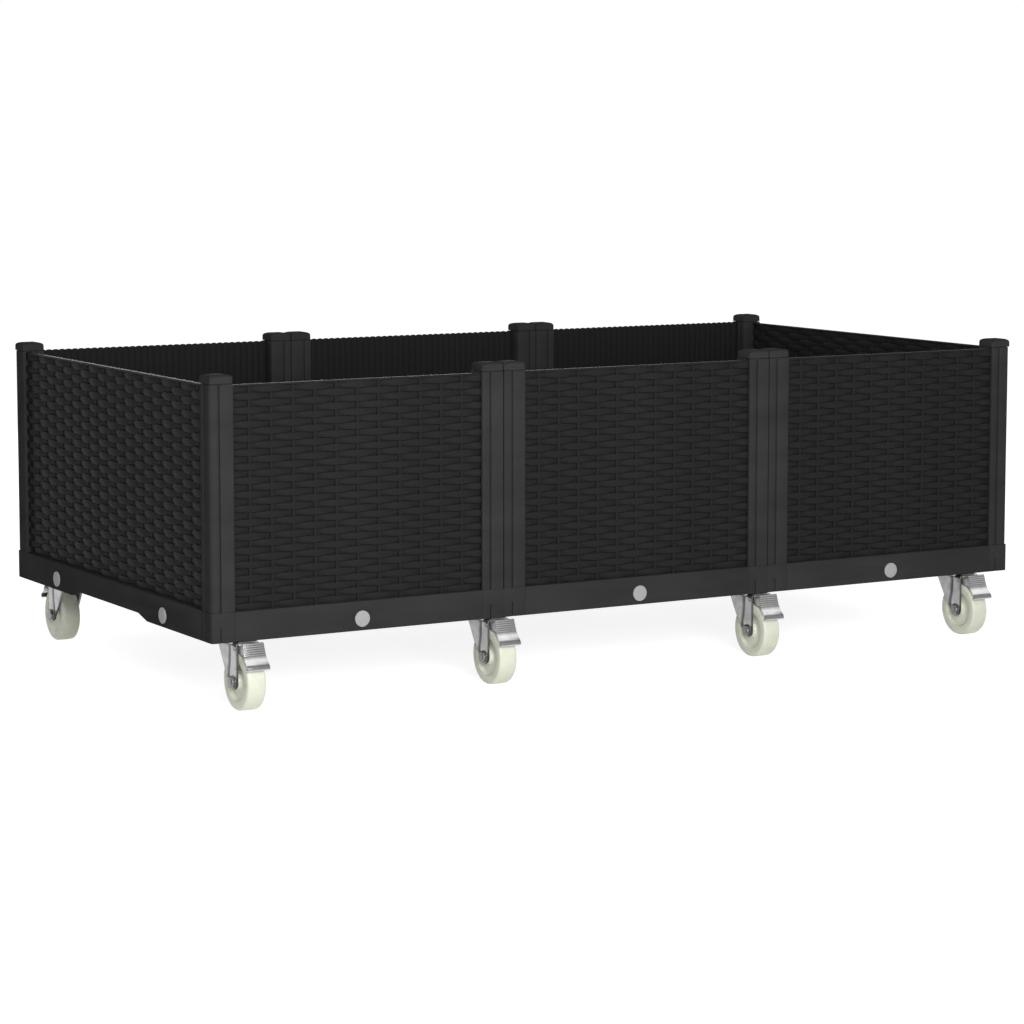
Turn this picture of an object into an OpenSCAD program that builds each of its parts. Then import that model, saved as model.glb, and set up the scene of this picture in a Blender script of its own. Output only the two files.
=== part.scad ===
// Rolling planter: a long raised bed of three bays side by side. Each bay is a smooth tray
// with four corner posts and woven panels, and the whole bed rolls on eight braked swivel
// casters. Millimetres. X runs along the bed, Y from front to back, and Z is the height
// above the ground. The origin is the middle of the footprint, on the ground.

/* [Bed] */
// Length of one bay along the bed
bay_w = 400; // [340:1:480]
// Depth of the bed from front skirt to back skirt
bed_d = 630; // [560:1:720]
// Height of the woven panels above the trays
panel_h = 271; // [200:1:360]

/* [Tray] */
// Height of the smooth skirt round each tray
skirt_h = 36; // [34:0.5:48]
// Thickness of the skirt and of the other tray walls
tray_wall = 3; // [2:0.1:4]
// Thickness of the tray floor
floor_t = 3; // [2:0.1:3.5]
// Height of the floor's underside above the skirt's lower edge
floor_rise = 5.5; // [4:0.1:5.5]
// Width of the ledge that the panels and posts stand on
ledge_w = 18; // [15:0.5:24]
// Thickness of that ledge
ledge_t = 4; // [3:0.1:6]
// Width of the solid block under each post
block_w = 40; // [38.5:0.1:42]
// How far the end skirts are arched up in the middle
arch_rise = 7; // [3:0.1:9]
// Length of the arch along its top
arch_flat = 190; // [120:1:240]
// Length of the slope at each end of the arch
arch_ramp = 27; // [10:1:40]
// Width of the slit under each post groove
slit_w = 1.6; // [1:0.1:2.4]
// Height of that slit
slit_h = 18; // [10:0.5:24]
// Depth of that slit
slit_depth = 2.4; // [1:0.1:2.6]
// Width of the fine line on the skirt beside each corner
line_w = 0.8; // [0.5:0.1:1.2]
// Depth of that line
line_depth = 0.5; // [0.3:0.1:1]
// Radius of the skirt at the bed's own corners
skirt_r = 4; // [2:0.5:8]
// Height of the stiffening ribs under the floor
rib_h = 4.5; // [2:0.1:4.8]
// Thickness of those ribs
rib_t = 2.5; // [1.5:0.1:4]
// Distance of those ribs from the middle of the tray
rib_offset = 105; // [60:1:140]

/* [Drain plugs] */
// Diameter of the drain hole
drain_d = 12; // [8:0.5:14]
// Height of the hole's lower edge above the tray floor
drain_lift = 0.2; // [0.1:0.1:4]
// Wall of the spout round the drain hole
spout_wall = 3; // [2:0.1:4]
// Diameter of the plug's head
plug_head_d = 20; // [17:0.5:26]
// Thickness of the plug's head
plug_head_t = 2.2; // [1.5:0.1:4]
// Length of the plug's shank
plug_len = 14; // [8:0.5:14.5]
// Radial clearance of the shank in its hole
plug_clear = 0.08; // [0.05:0.01:0.1]
// Distance of the end drains from the middle of the end skirt
end_drain_offset = 172.5; // [136:0.5:200]

/* [Posts] */
// Width of a post
post_w = 30; // [28:0.1:32]
// Radius of a post's corner where it is a corner of the bed
corner_r = 6; // [3:0.5:8]
// Radius of the other outer corners
edge_r = 0.8; // [0.4:0.1:1.5]
// Diameter of the bore for the spigots
post_bore = 12; // [8:0.1:13]
// Set-back of the posts from the skirt
post_inset = 0.7; // [0.3:0.1:1.2]
// Width of the grooves down a post
groove_w = 3; // [2:0.1:4]
// Depth of those grooves
groove_depth = 3.2; // [1:0.1:3.6]

/* [Panels] */
// Thickness of a woven panel
panel_t = 8.5; // [7.5:0.1:9]
// Set-back of the woven face from the skirt
panel_inset = 5; // [4:0.1:5.5]
// How far a panel's edge reaches into the post's slot
tongue = 4; // [2:0.1:4.2]
// Gap between a panel's edge and the slot, each way
slot_gap = 0.3; // [0.2:0.05:0.4]
// Number of woven rows
row_count = 32; // [24:1:40]
// Height of the plain rim along the panel's top
rim_h = 2; // [1:0.1:6]
// Depth of the valley between two rows
weave_depth = 1.3; // [0.5:0.1:2]

/* [Caps] */
// Shadow gap between a post and its cap
cap_gap = 0.7; // [0.4:0.1:1.5]
// Height of the cap's upright band
cap_band = 5.6; // [4:0.1:9]
// Height of the cap's rounded top above the band
cap_dome = 5.5; // [3:0.1:8]
// Radius of the cap's corners
cap_r = 1.5; // [0.8:0.1:4]
// How far the neck in the shadow gap stands back
neck_in = 2.5; // [1:0.1:5]
// How far the posts stand above the panels
post_over = 1.2; // [0.5:0.1:4]
// Length of the spigots at the two ends of a post
spigot_len = 10; // [6:0.5:16]
// Gap round those spigots
spigot_gap = 0.2; // [0.1:0.05:0.4]

/* [Casters] */
// Wheel diameter
wheel_d = 71.5; // [66:0.5:73]
// Width of the tread
wheel_w = 24.5; // [19:0.5:25]
// Rounding of the tread's edges
tread_r = 5.5; // [2:0.5:7]
// Depth of the tyre ring from the tread to the recess
tyre_t = 11; // [9:0.5:13]
// Thickness of the web inside the recess
web_t = 10; // [6:0.5:14]
// Diameter of the wheel's hub
hub_d = 20; // [14:0.5:26]
// Length of the hub between the fork's legs
hub_len = 25.4; // [25:0.1:27]
// Gap between the hub and each leg
hub_gap = 0.3; // [0.2:0.05:0.4]
// Distance of the axle behind the swivel axis
trail = 22; // [20:0.5:24]
// Distance of a caster's swivel axis from the front or back skirt
caster_in_y = 46; // [45:0.5:52]
// Distance of the end casters' swivel axes from the end skirts
caster_in_x = 53.5; // [53:0.5:70]
// Height of the fork's crown above the tread
crown_gap = 9.5; // [8:0.1:14]
// How far the caster's seat lies below the skirt's lower edge
boss_drop = 1.5; // [1:0.1:6]
// Diameter of the black boss over each caster
boss_d = 52; // [46:0.5:55]

/* [Fork] */
// Sheet thickness of the fork's legs
leg_t = 2.5; // [2:0.1:3]
// Radius of the fork's eye round the axle
eye_r = 9.5; // [8:0.1:10.5]
// How far the legs reach behind the swivel axis at the crown
leg_back = 20; // [18:0.5:24]
// Height of the legs' upright back edge
leg_back_h = 5; // [4:0.1:12]
// Distance of the bend in the back edge behind the swivel axis
knee_y = 1; // [0:0.5:8]
// Height of that bend above the axle
knee_z = 12.5; // [8:0.5:16]
// Thickness of the fork's crown
crown_t = 3.6; // [2.5:0.1:4]
// Diameter of the crown's round raceway
crown_d = 50; // [40:0.5:52]
// Vertical play between the crown and the stem's two flanges
swivel_gap = 0.3; // [0.2:0.05:0.35]

/* [Fasteners] */
// Diameter of the swivel stem
stem_d = 10; // [8:0.5:12]
// Radial clearance of the fork on the stem
stem_clear = 0.05; // [0.02:0.01:0.1]
// Diameter of the stem's upper race plate
race_d = 44; // [34:0.5:46]
// Thickness of that plate
race_t = 1.6; // [1.2:0.1:2.4]
// Diameter of the stem's lower head
stem_head_d = 18; // [14.5:0.5:20]
// Thickness of the stem's lower head
stem_head_t = 3; // [2:0.1:3.4]
// Clearance of the stem in the tray and the boss, on the radius
stem_hole_gap = 0.2; // [0.1:0.05:0.5]
// Diameter of the washer pad on the tray floor
pad_d = 27; // [25:0.5:27.5]
// Height of that pad
pad_h = 2; // [1:0.1:3]
// Washer diameter
washer_d = 24; // [21:0.5:24.5]
// Washer thickness
washer_t = 2; // [1:0.1:2.5]
// Width across the flats of the stem nut
stem_nut_af = 17; // [15:0.5:19]
// Height of the stem nut
stem_nut_h = 8; // [5:0.1:10]
// How far the stem stands above its nut
stem_over = 2; // [1:0.5:5]
// Diameter of the axle bolt
axle_d = 8; // [6:0.1:10]
// Radial clearance of the wheel on the axle bolt
axle_clear = 0.05; // [0.02:0.01:0.1]
// Width across the flats of the axle bolt's head and nut
axle_af = 13; // [11:0.5:15]
// Height of the axle bolt's head
axle_head_h = 4; // [3:0.1:7]
// Height of the axle nut
axle_nut_h = 4; // [3:0.1:9]
// How far the axle bolt stands out of its nut
axle_over = 0.6; // [0.4:0.1:3]

/* [Brake pedal] */
// Diameter of the pedal's pivot pin
pin_d = 4; // [3:0.1:4.2]
// Radial clearance of the pedal on its pin
pin_clear = 0.05; // [0.02:0.01:0.1]
// Diameter of the pin's two heads
pin_head_d = 7; // [5.5:0.1:9]
// Thickness of the pin's two heads
pin_head_t = 1.4; // [1:0.1:2]
// Distance of the pin ahead of the axle
pin_ahead = 6; // [5:0.1:8]
// Metal between the pin's hole and the leg's front edge
pin_wall = 1.45; // [1:0.05:3]
// Sheet thickness of the pedal
pedal_t = 1.6; // [1.2:0.1:2]
// Distance of the pedal's lip ahead of the pin
pedal_reach = 33.4; // [31:0.1:40]
// Height of the pedal's upper edge above the pin
pedal_rise = 7.5; // [6:0.1:9]
// Height of the pedal's lip below the pin
pedal_drop = 21; // [17:0.1:22]
// Width of the pedal's foot plate
pedal_w = 28; // [24:0.5:30]
// Gap between a pedal flange and the fork's leg
flange_gap = 0.3; // [0.2:0.05:0.5]
// Thickness of the pedal's side flanges
flange_t = 1.5; // [1:0.1:2]
// Half height of the flange round the pin
flange_r = 3.2; // [3:0.1:3.4]
// Diameter of the rolled lip
lip_d = 4.4; // [3:0.1:5]
// Thickness of the brake shoe over the tread
shoe_t = 1.6; // [1:0.1:2]
// Distance of the shoe's nearer edge ahead of the pin
shoe_near = 9; // [8:0.1:12]
// Length of the shoe
shoe_len = 4.5; // [3:0.1:6]
// Gap between the shoe and the tread while the brake is off
shoe_gap = 1.8; // [1.8:0.1:3]
// Number of ribs across the pedal's upper face
pedal_ribs = 3; // [2:1:5]
// Height of those ribs
pedal_rib_h = 0.7; // [0.3:0.1:1]

/* [Hidden] */
$fn = 96;
// One overrun serves all the cuts
over = 1;
// Bays from left to right, and the four corners of a bay as turns from the front left one
BAYS = [-1, 0, 1];
bay_names = ["left", "middle", "right"];
TURNS = [0, 1, 2, 3];
// Casters along one side, and the ends of the two drains in an end skirt
CASTERS = [0, 1, 2, 3];
ENDS = ["front", "back"];

// Colours of the finishes
charcoal = [0.22, 0.22, 0.22];
woven_charcoal = [0.18, 0.18, 0.18];
black = [0.09, 0.09, 0.09];
zinc = [0.62, 0.63, 0.64];
bright_zinc = [0.74, 0.75, 0.76];
ivory = [0.92, 0.93, 0.84];
pale_grey = [0.76, 0.76, 0.76];

// Heights above the ground
caster_h = wheel_d + crown_gap + crown_t + swivel_gap + race_t;
skirt_z = caster_h + boss_drop;
floor_under_z = skirt_z + floor_rise;
floor_z = floor_under_z + floor_t;
drain_z = floor_z + drain_d / 2 + drain_lift;
ledge_z = skirt_z + skirt_h;
panel_top_z = ledge_z + panel_h;
post_top_z = panel_top_z + post_over;
axle_z = wheel_d / 2;
washer_z = floor_z + pad_h;
stem_nut_z = washer_z + washer_t;
stem_top_z = stem_nut_z + stem_nut_h + stem_over;

// Plan of the bed
bed_l = len(BAYS) * bay_w;
panel_start = post_inset + post_w - tongue;
// Groove and slit places, as a share of the post's width from the left edge of each face
groove_share = 0.37;
groove_at = groove_share * post_w;
// Turn about the vertical between two neighbouring faces
quarter = 90;
// Points across half a cap's rounded top, as shares of its half width, and the power of
// the curve through them
vault_shares = [1, 0.97, 0.9, 0.78, 0.6, 0.35];
vault_power = 3;

// Heights within the caster, downwards from its seat
race_z = caster_h - race_t;
crown_z = race_z - swivel_gap - crown_t;
stem_head_z = crown_z - swivel_gap - stem_head_t;
stem_hole_d = stem_d + 2 * stem_hole_gap;

// Plan of the fork: the wheel is ahead of the swivel axis, towards -Y
leg_in = hub_len / 2 + hub_gap;
leg_out = leg_in + leg_t;
pin_y = -trail - pin_ahead;
pin_z = crown_z - flange_gap - flange_r;
leg_front = pin_y - pin_d / 2 - pin_clear - pin_wall;

// Bends of the pedal's foot plate from its upper edge to the lip, from the pin, as shares
// of the pedal's reach and of its rise or drop
plate_reach_shares = [0.54, 0.67, 0.87, 1];
plate_drop_shares = [0, 0.36, 0.74, 1];
plate_top = [-plate_reach_shares[0] * pedal_reach, pedal_rise];
plate_bend = [-plate_reach_shares[1] * pedal_reach, -plate_drop_shares[1] * pedal_drop];
plate_knee = [-plate_reach_shares[2] * pedal_reach, -plate_drop_shares[2] * pedal_drop];
plate_lip = [-plate_reach_shares[3] * pedal_reach, -plate_drop_shares[3] * pedal_drop];
// The shoe's underside from the pin, clear of the tread at its nearer edge
shoe_low = axle_z - pin_z
    + sqrt(pow(wheel_d / 2 + shoe_gap, 2) - pow(pin_ahead + shoe_near, 2));
flange_out = leg_in - flange_gap;

// Plain helpers

// Places its children at every corner of one bay, turned so that the corner's two outer
// faces are at x = 0 and y = 0 with the bay at +x and +y.
module at_corner(bay, turn, inset = 0) {
    x_side = (turn == 0 || turn == 3) ? -1 : 1;
    y_side = (turn == 0 || turn == 1) ? -1 : 1;
    translate([
        bay * bay_w + x_side * (bay_w / 2 - inset),
        y_side * (bed_d / 2 - inset),
        0
    ]) rotate([0, 0, turn * quarter]) children();
}

// True where that corner of the bay is a corner of the whole bed.
function is_bed_corner(bay, turn) =
    (bay == BAYS[0] && (turn == 0 || turn == 3)) ||
    (bay == BAYS[len(BAYS) - 1] && (turn == 1 || turn == 2));

// A plain box between two corners.
module box_between(low, high) {
    translate(low) cube(high - low);
}

// A hexagonal prism along +Z, centred on the axis.
module hexagon(across_flats, height) {
    cylinder(d = across_flats / cos(30), h = height, $fn = 6);
}

// A line of points moved sideways by a distance, with mitred corners.
function unit(v) = v / norm(v);
function left_of(v) = [-v[1], v[0]];
function mitred(points, distance) = [
    for (i = [0 : len(points) - 1])
        let (
            last = len(points) - 1,
            into = unit(points[max(i, 1)] - points[max(i, 1) - 1]),
            out = unit(points[min(i + 1, last)] - points[min(i + 1, last) - 1]),
            way = unit(left_of(into) + left_of(out))
        )
        points[i] + way * distance / (way * left_of(into))
];

// Bent sheet along a line of points.
module bent_sheet(points, thickness) {
    near = mitred(points, thickness / 2);
    far = mitred(points, -thickness / 2);
    polygon(concat(near, [for (i = [len(far) - 1 : -1 : 0]) far[i]]));
}

// A round bar across X at a point of the (Y, Z) plane.
module cross_bar(at, diameter, width) {
    translate([-width / 2, at[0], at[1]])
        rotate([0, quarter, 0]) cylinder(d = diameter, h = width);
}

// Caster places

function caster_x(i) =
    let (joints = [for (b = [1 : len(BAYS) - 1]) b * bay_w - bed_l / 2])
    concat([caster_in_x - bed_l / 2], joints, [bed_l / 2 - caster_in_x])[i];

// Places its children on one caster's swivel axis, turned so that the wheel is outside.
module at_caster(end, i) {
    side = end == "front" ? 1 : -1;
    translate([caster_x(i), side * (caster_in_y - bed_d / 2), 0])
        rotate([0, 0, side > 0 ? 0 : 2 * quarter]) children();
}

module at_all_casters() {
    for (end = ENDS, i = CASTERS) at_caster(end, i) children();
}

// Trays

// Ground plan of one bay's tray, round only at the bed's own corners.
module tray_plan(bay) {
    difference() {
        translate([bay * bay_w - bay_w / 2, -bed_d / 2]) square([bay_w, bed_d]);
        for (turn = TURNS) if (is_bed_corner(bay, turn)) at_corner(bay, turn) difference() {
            translate([-over, -over]) square([skirt_r + over, skirt_r + over]);
            translate([skirt_r, skirt_r]) circle(r = skirt_r);
        }
    }
}

// The double wall of one side, drawn along +x from the corner with its outer face at y = 0:
// a skirt, an inner wall and the ledge that joins them.
module double_wall(length) {
    box_between([0, 0, skirt_z], [length, tray_wall, ledge_z]);
    box_between([0, ledge_w - tray_wall, floor_under_z], [length, ledge_w, ledge_z]);
    box_between([0, 0, ledge_z - ledge_t], [length, ledge_w, ledge_z]);
}

// The solid block under a post, with the spigot that the post stands on.
module post_block() {
    box_between([0, 0, floor_under_z], [block_w, block_w, ledge_z]);
    translate([post_inset + post_w / 2, post_inset + post_w / 2, ledge_z])
        cylinder(d = post_bore - 2 * spigot_gap, h = spigot_len);
}

// Slits in the skirt in line with the post's grooves, and fine lines in line with its edges.
// An even turn has the front or back skirt at y = 0, an odd turn at x = 0, and a corner of
// the bed has a skirt on both. The slits in an end skirt run up its whole height.
module skirt_marks(turn, on_end) {
    x_slit_h = on_end && turn % 2 == 1 ? skirt_h + over : slit_h;
    y_slit_h = on_end && turn % 2 == 0 ? skirt_h + over : slit_h;
    at = post_inset + groove_at;
    far = post_inset + post_w - groove_at;
    edge = post_inset + post_w;
    if (on_end || turn % 2 == 0) {
        box_between([at - slit_w / 2, -over, skirt_z - over],
            [at + slit_w / 2, slit_depth, skirt_z + x_slit_h]);
        box_between([edge - line_w / 2, -over, skirt_z - over],
            [edge + line_w / 2, line_depth, ledge_z + over]);
    }
    if (on_end || turn % 2 == 1) {
        box_between([-over, far - slit_w / 2, skirt_z - over],
            [slit_depth, far + slit_w / 2, skirt_z + y_slit_h]);
        box_between([-over, edge - line_w / 2, skirt_z - over],
            [line_depth, edge + line_w / 2, ledge_z + over]);
    }
}

// The raised middle of an end skirt, as a cutter across the skirt.
module arch_cutter() {
    reach = arch_flat / 2 + arch_ramp;
    translate([-over, 0, skirt_z]) rotate([quarter, 0, quarter])
        linear_extrude(tray_wall + 2 * over)
            polygon([
                [-reach - over, -over], [reach + over, -over], [reach, 0],
                [arch_flat / 2, arch_rise], [-arch_flat / 2, arch_rise], [-reach, 0]
            ]);
}

// Drain places of one bay, as [x, y, turn] of the hole's mouth in the skirt.
function drains(bay) = concat(
    [[bay * bay_w, -bed_d / 2, 0], [bay * bay_w, bed_d / 2, 2]],
    bay == BAYS[0]
        ? [for (s = [-1, 1]) [-bed_l / 2, s * end_drain_offset, 3]] : [],
    bay == BAYS[len(BAYS) - 1]
        ? [for (s = [-1, 1]) [bed_l / 2, s * end_drain_offset, 1]] : []
);

// Places its children at a drain, with the way into the bed along +Y.
module at_drain(drain) {
    translate([drain[0], drain[1], drain_z])
        rotate([0, 0, drain[2] * quarter]) children();
}

module spout(diameter, from, to) {
    translate([0, from, 0]) rotate([-quarter, 0, 0]) cylinder(d = diameter, h = to - from);
}

module tray_body(bay) {
    left = bay * bay_w - bay_w / 2;
    right = left + bay_w;
    // Long double walls at the front and the back
    at_corner(bay, 0) double_wall(bay_w);
    at_corner(bay, 2) double_wall(bay_w);
    // An end is a double wall, and a side that meets the next bay is a plain wall
    if (bay == BAYS[0]) at_corner(bay, 3) double_wall(bed_d);
    else box_between([left, -bed_d / 2, floor_under_z],
        [left + tray_wall, bed_d / 2, ledge_z]);
    if (bay == BAYS[len(BAYS) - 1]) at_corner(bay, 1) double_wall(bed_d);
    else box_between([right - tray_wall, -bed_d / 2, floor_under_z],
        [right, bed_d / 2, ledge_z]);
    // Floor between the inner walls
    box_between(
        [left + (bay == BAYS[0] ? ledge_w - tray_wall : 0),
            ledge_w - tray_wall - bed_d / 2, floor_under_z],
        [right - (bay == BAYS[len(BAYS) - 1] ? ledge_w - tray_wall : 0),
            bed_d / 2 - ledge_w + tray_wall, floor_z]);
    for (turn = TURNS) at_corner(bay, turn) post_block();
    for (drain = drains(bay)) at_drain(drain)
        spout(drain_d + 2 * spout_wall, tray_wall / 2, ledge_w - tray_wall / 2);
    // Ribs under the floor, clear of the casters' bosses
    for (s = [-1, 1]) {
        translate([bay * bay_w, s * rib_offset, 0]) box_between(
            [-rib_offset, -rib_t / 2, floor_under_z - rib_h],
            [rib_offset, rib_t / 2, floor_under_z]);
        translate([bay * bay_w + s * rib_offset, 0, 0]) box_between(
            [-rib_t / 2, -rib_offset, floor_under_z - rib_h],
            [rib_t / 2, rib_offset, floor_under_z]);
    }
}

module tray(bay) {
    color(charcoal) intersection() {
        difference() {
            tray_body(bay);
            for (turn = TURNS)
                at_corner(bay, turn) skirt_marks(turn, is_bed_corner(bay, turn));
            if (bay == BAYS[0]) translate([-bed_l / 2, 0, 0]) arch_cutter();
            if (bay == BAYS[len(BAYS) - 1])
                translate([bed_l / 2 - tray_wall, 0, 0]) arch_cutter();
            for (drain = drains(bay)) at_drain(drain) spout(drain_d, -over, ledge_w + over);
            at_all_casters() {
                // Room for the washer and nut
                translate([0, 0, washer_z])
                    cylinder(d = pad_d, h = ledge_z - washer_z + spigot_len + over);
                // Hole for the stem
                translate([0, 0, floor_under_z - over])
                    cylinder(d = stem_hole_d, h = floor_t + pad_h + 2 * over);
            }
        }
        translate([0, 0, skirt_z - over])
            linear_extrude(skirt_h + spigot_len + 2 * over) tray_plan(bay);
    }
}

// Washer pads are part of each tray, cut from the same round column as the nut's room.
module tray_with_pads(bay) {
    color(charcoal) union() {
        tray(bay);
        intersection() {
            difference() {
                at_all_casters() translate([0, 0, floor_z - floor_t / 2])
                    cylinder(d = pad_d, h = pad_h + floor_t / 2);
                at_all_casters() translate([0, 0, floor_z - floor_t])
                    cylinder(d = stem_hole_d, h = floor_t + pad_h + over);
            }
            translate([0, 0, floor_under_z])
                linear_extrude(skirt_h) tray_plan(bay);
        }
    }
}

// Panels

// Section of a panel in (depth, height): rows of flat strands with valleys between them on
// both faces, and a plain rim on top.
module panel_section() {
    row_h = (panel_h - rim_h) / row_count;
    flat_share = 0.24;
    outer = [for (r = [0 : row_count - 1]) each [
        [weave_depth, r * row_h],
        [0, (r + flat_share) * row_h],
        [0, (r + 1 - flat_share) * row_h]
    ]];
    rim = [[weave_depth, panel_h - rim_h], [weave_depth / 2, panel_h],
        [panel_t - weave_depth / 2, panel_h], [panel_t - weave_depth, panel_h - rim_h]];
    inner = [for (r = [row_count - 1 : -1 : 0]) each [
        [panel_t, (r + 1 - flat_share) * row_h],
        [panel_t, (r + flat_share) * row_h],
        [panel_t - weave_depth, r * row_h]
    ]];
    polygon(concat(outer, rim, inner));
}

// A panel between two posts whose outer faces are span apart, standing on the ledge with
// its outer face towards -Y.
module woven_panel(span) {
    color(woven_charcoal)
        translate([panel_start, panel_inset, ledge_z])
            rotate([quarter, 0, quarter])
                linear_extrude(span - 2 * panel_start) panel_section();
}

// Posts

// A square of one side with its corner at the origin, that corner rounded by a radius.
module rounded_corner(side, radius) {
    translate([radius, 0]) square([side - radius, side]);
    translate([0, radius]) square([side, side - radius]);
    translate([radius, radius]) circle(r = radius);
}

// The groove cut into a face along x at y = 0, and the slot for a panel's edge in the face
// at x = post_w.
module groove(at) {
    translate([at - groove_w / 2, -over]) square([groove_w, groove_depth + over]);
}

module panel_slot() {
    translate([post_w - tongue - slot_gap, panel_inset - post_inset - slot_gap])
        square([tongue + slot_gap + over, panel_t + 2 * slot_gap]);
}

// Swaps x and y for its children.
module swapped() {
    mirror([1, -1]) children();
}

// One post with its outer corner at the origin. A panel meets it on the side away from the
// seam, and a corner of the bed has a panel on both inner sides.
module post(turn, on_end) {
    color(charcoal) translate([0, 0, ledge_z]) linear_extrude(post_top_z - ledge_z)
        difference() {
            rounded_corner(post_w, on_end ? corner_r : edge_r);
            translate([post_w / 2, post_w / 2]) circle(d = post_bore);
            if (on_end || turn % 2 == 0) panel_slot();
            if (on_end || turn % 2 == 1) swapped() panel_slot();
            // Grooves, at the same share from the left of each outer face
            groove(groove_at);
            swapped() groove(post_w - groove_at);
            // Grooves towards the inside of the bed, in line with the outer ones
            if (!on_end && turn % 2 == 0)
                translate([0, post_w]) mirror([0, 1]) groove(groove_at);
            else swapped() translate([0, post_w]) mirror([0, 1]) groove(post_w - groove_at);
        }
}

module posts(at_bed_corners) {
    for (bay = BAYS, turn = TURNS)
        if (is_bed_corner(bay, turn) == at_bed_corners)
            at_corner(bay, turn, post_inset) post(turn, at_bed_corners);
}

// A square of one side about the origin with all its corners rounded.
module rounded_square(side, radius) {
    square([side, side - 2 * radius], center = true);
    square([side - 2 * radius, side], center = true);
    for (x = [-1, 1], y = [-1, 1])
        translate([x, y] * (side / 2 - radius)) circle(r = radius);
}

// A vault across the cap, upright at its two sides and nearly flat in the middle.
module vault(half) {
    rise = [for (share = vault_shares)
        [share * half, cap_dome * pow(1 - pow(share, vault_power), 1 / vault_power)]];
    fall = [for (i = [len(rise) - 1 : -1 : 0]) [-rise[i][0], rise[i][1]]];
    rotate([quarter, 0, 0]) linear_extrude(2 * post_w, center = true)
        polygon(concat([[half, -cap_band / 2]], rise, [[0, cap_dome]], fall,
            [[-half, -cap_band / 2]]));
}

// The cap's rounded top: vaults from side to side and from corner to corner.
module pillow() {
    corner = (post_w / 2 - cap_r) * sqrt(2) + cap_r;
    intersection() {
        vault(post_w / 2);
        rotate([0, 0, quarter]) vault(post_w / 2);
        rotate([0, 0, quarter / 2]) vault(corner);
        rotate([0, 0, -quarter / 2]) vault(corner);
        translate([0, 0, -cap_band / 2]) linear_extrude(cap_band + cap_dome)
            rounded_square(post_w, cap_r);
    }
}

module cap() {
    color(charcoal) translate([post_w / 2, post_w / 2, post_top_z]) {
        translate([0, 0, -spigot_len])
            cylinder(d = post_bore - 2 * spigot_gap, h = spigot_len + cap_gap + over);
        linear_extrude(cap_gap + over) rounded_square(post_w - 2 * neck_in, cap_r);
        translate([0, 0, cap_gap]) linear_extrude(cap_band) rounded_square(post_w, cap_r);
        translate([0, 0, cap_gap + cap_band]) pillow();
    }
}

module post_caps() {
    for (bay = BAYS, turn = TURNS) at_corner(bay, turn, post_inset) cap();
}

// Fixed parts of the casters

module caster_bosses() {
    color(black) at_all_casters() translate([0, 0, caster_h]) difference() {
        cylinder(d = boss_d, h = floor_under_z - caster_h);
        translate([0, 0, -over])
            cylinder(d = stem_hole_d, h = floor_under_z - caster_h + 2 * over);
    }
}

module swivel_stems() {
    color(zinc) at_all_casters() {
        translate([0, 0, stem_head_z]) cylinder(d = stem_head_d, h = stem_head_t);
        translate([0, 0, stem_head_z]) cylinder(d = stem_d, h = stem_top_z - stem_head_z);
        translate([0, 0, race_z]) cylinder(d = race_d, h = race_t);
    }
}

module stem_washers() {
    color(zinc) at_all_casters() translate([0, 0, washer_z]) difference() {
        cylinder(d = washer_d, h = washer_t);
        translate([0, 0, -over]) cylinder(d = stem_hole_d, h = washer_t + 2 * over);
    }
}

module stem_nuts() {
    color(zinc) at_all_casters() translate([0, 0, stem_nut_z]) difference() {
        hexagon(stem_nut_af, stem_nut_h);
        translate([0, 0, -over])
            cylinder(r = stem_d / 2 + stem_clear, h = stem_nut_h + 2 * over);
    }
}

// Moving parts of a caster, all drawn on the swivel axis with the wheel towards -Y

// Side view of a fork leg in (Y, Z).
module leg_outline() {
    crown_top = crown_z + crown_t;
    eye_back = 35;
    difference() {
        union() {
            polygon([
                [leg_front, crown_top], [leg_back, crown_top],
                [leg_back, crown_top - leg_back_h], [knee_y, axle_z + knee_z],
                [eye_r * cos(eye_back) - trail, axle_z - eye_r * sin(eye_back)],
                [-trail, axle_z], [leg_front, axle_z]
            ]);
            translate([-trail, axle_z]) circle(r = eye_r);
        }
        translate([-trail, axle_z]) circle(r = axle_d / 2 + axle_clear);
        translate([pin_y, pin_z]) circle(r = pin_d / 2 + pin_clear);
    }
}

module fork() {
    color(zinc) difference() {
        union() {
            for (x = [-leg_out, leg_in]) translate([x, 0, 0])
                rotate([quarter, 0, quarter]) linear_extrude(leg_t) leg_outline();
            box_between([-leg_out, leg_front, crown_z],
                [leg_out, leg_back, crown_z + crown_t]);
            translate([0, 0, crown_z]) cylinder(d = crown_d, h = crown_t);
        }
        translate([0, 0, crown_z - over])
            cylinder(r = stem_d / 2 + stem_clear, h = crown_t + 2 * over);
    }
}

// Axle bolt with its nut on the -X side, and the pedal's pivot pin.
module bolts() {
    color(bright_zinc) {
        translate([-leg_out - axle_nut_h - axle_over, -trail, axle_z])
            rotate([0, quarter, 0])
                cylinder(d = axle_d, h = 2 * leg_out + axle_nut_h + axle_over + over);
        translate([leg_out, -trail, axle_z]) rotate([0, quarter, 0])
            hexagon(axle_af, axle_head_h);
        difference() {
            translate([-leg_out - axle_nut_h, -trail, axle_z]) rotate([0, quarter, 0])
                hexagon(axle_af, axle_nut_h);
            translate([-leg_out - axle_nut_h - over, -trail, axle_z])
                rotate([0, quarter, 0])
                    cylinder(r = axle_d / 2 + axle_clear, h = axle_nut_h + 2 * over);
        }
        cross_bar([pin_y, pin_z], pin_d, 2 * (leg_out + pin_head_t));
        for (x = [-leg_out - pin_head_t, leg_out]) translate([x, pin_y, pin_z])
            rotate([0, quarter, 0]) cylinder(d = pin_head_d, h = pin_head_t);
    }
}

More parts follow.
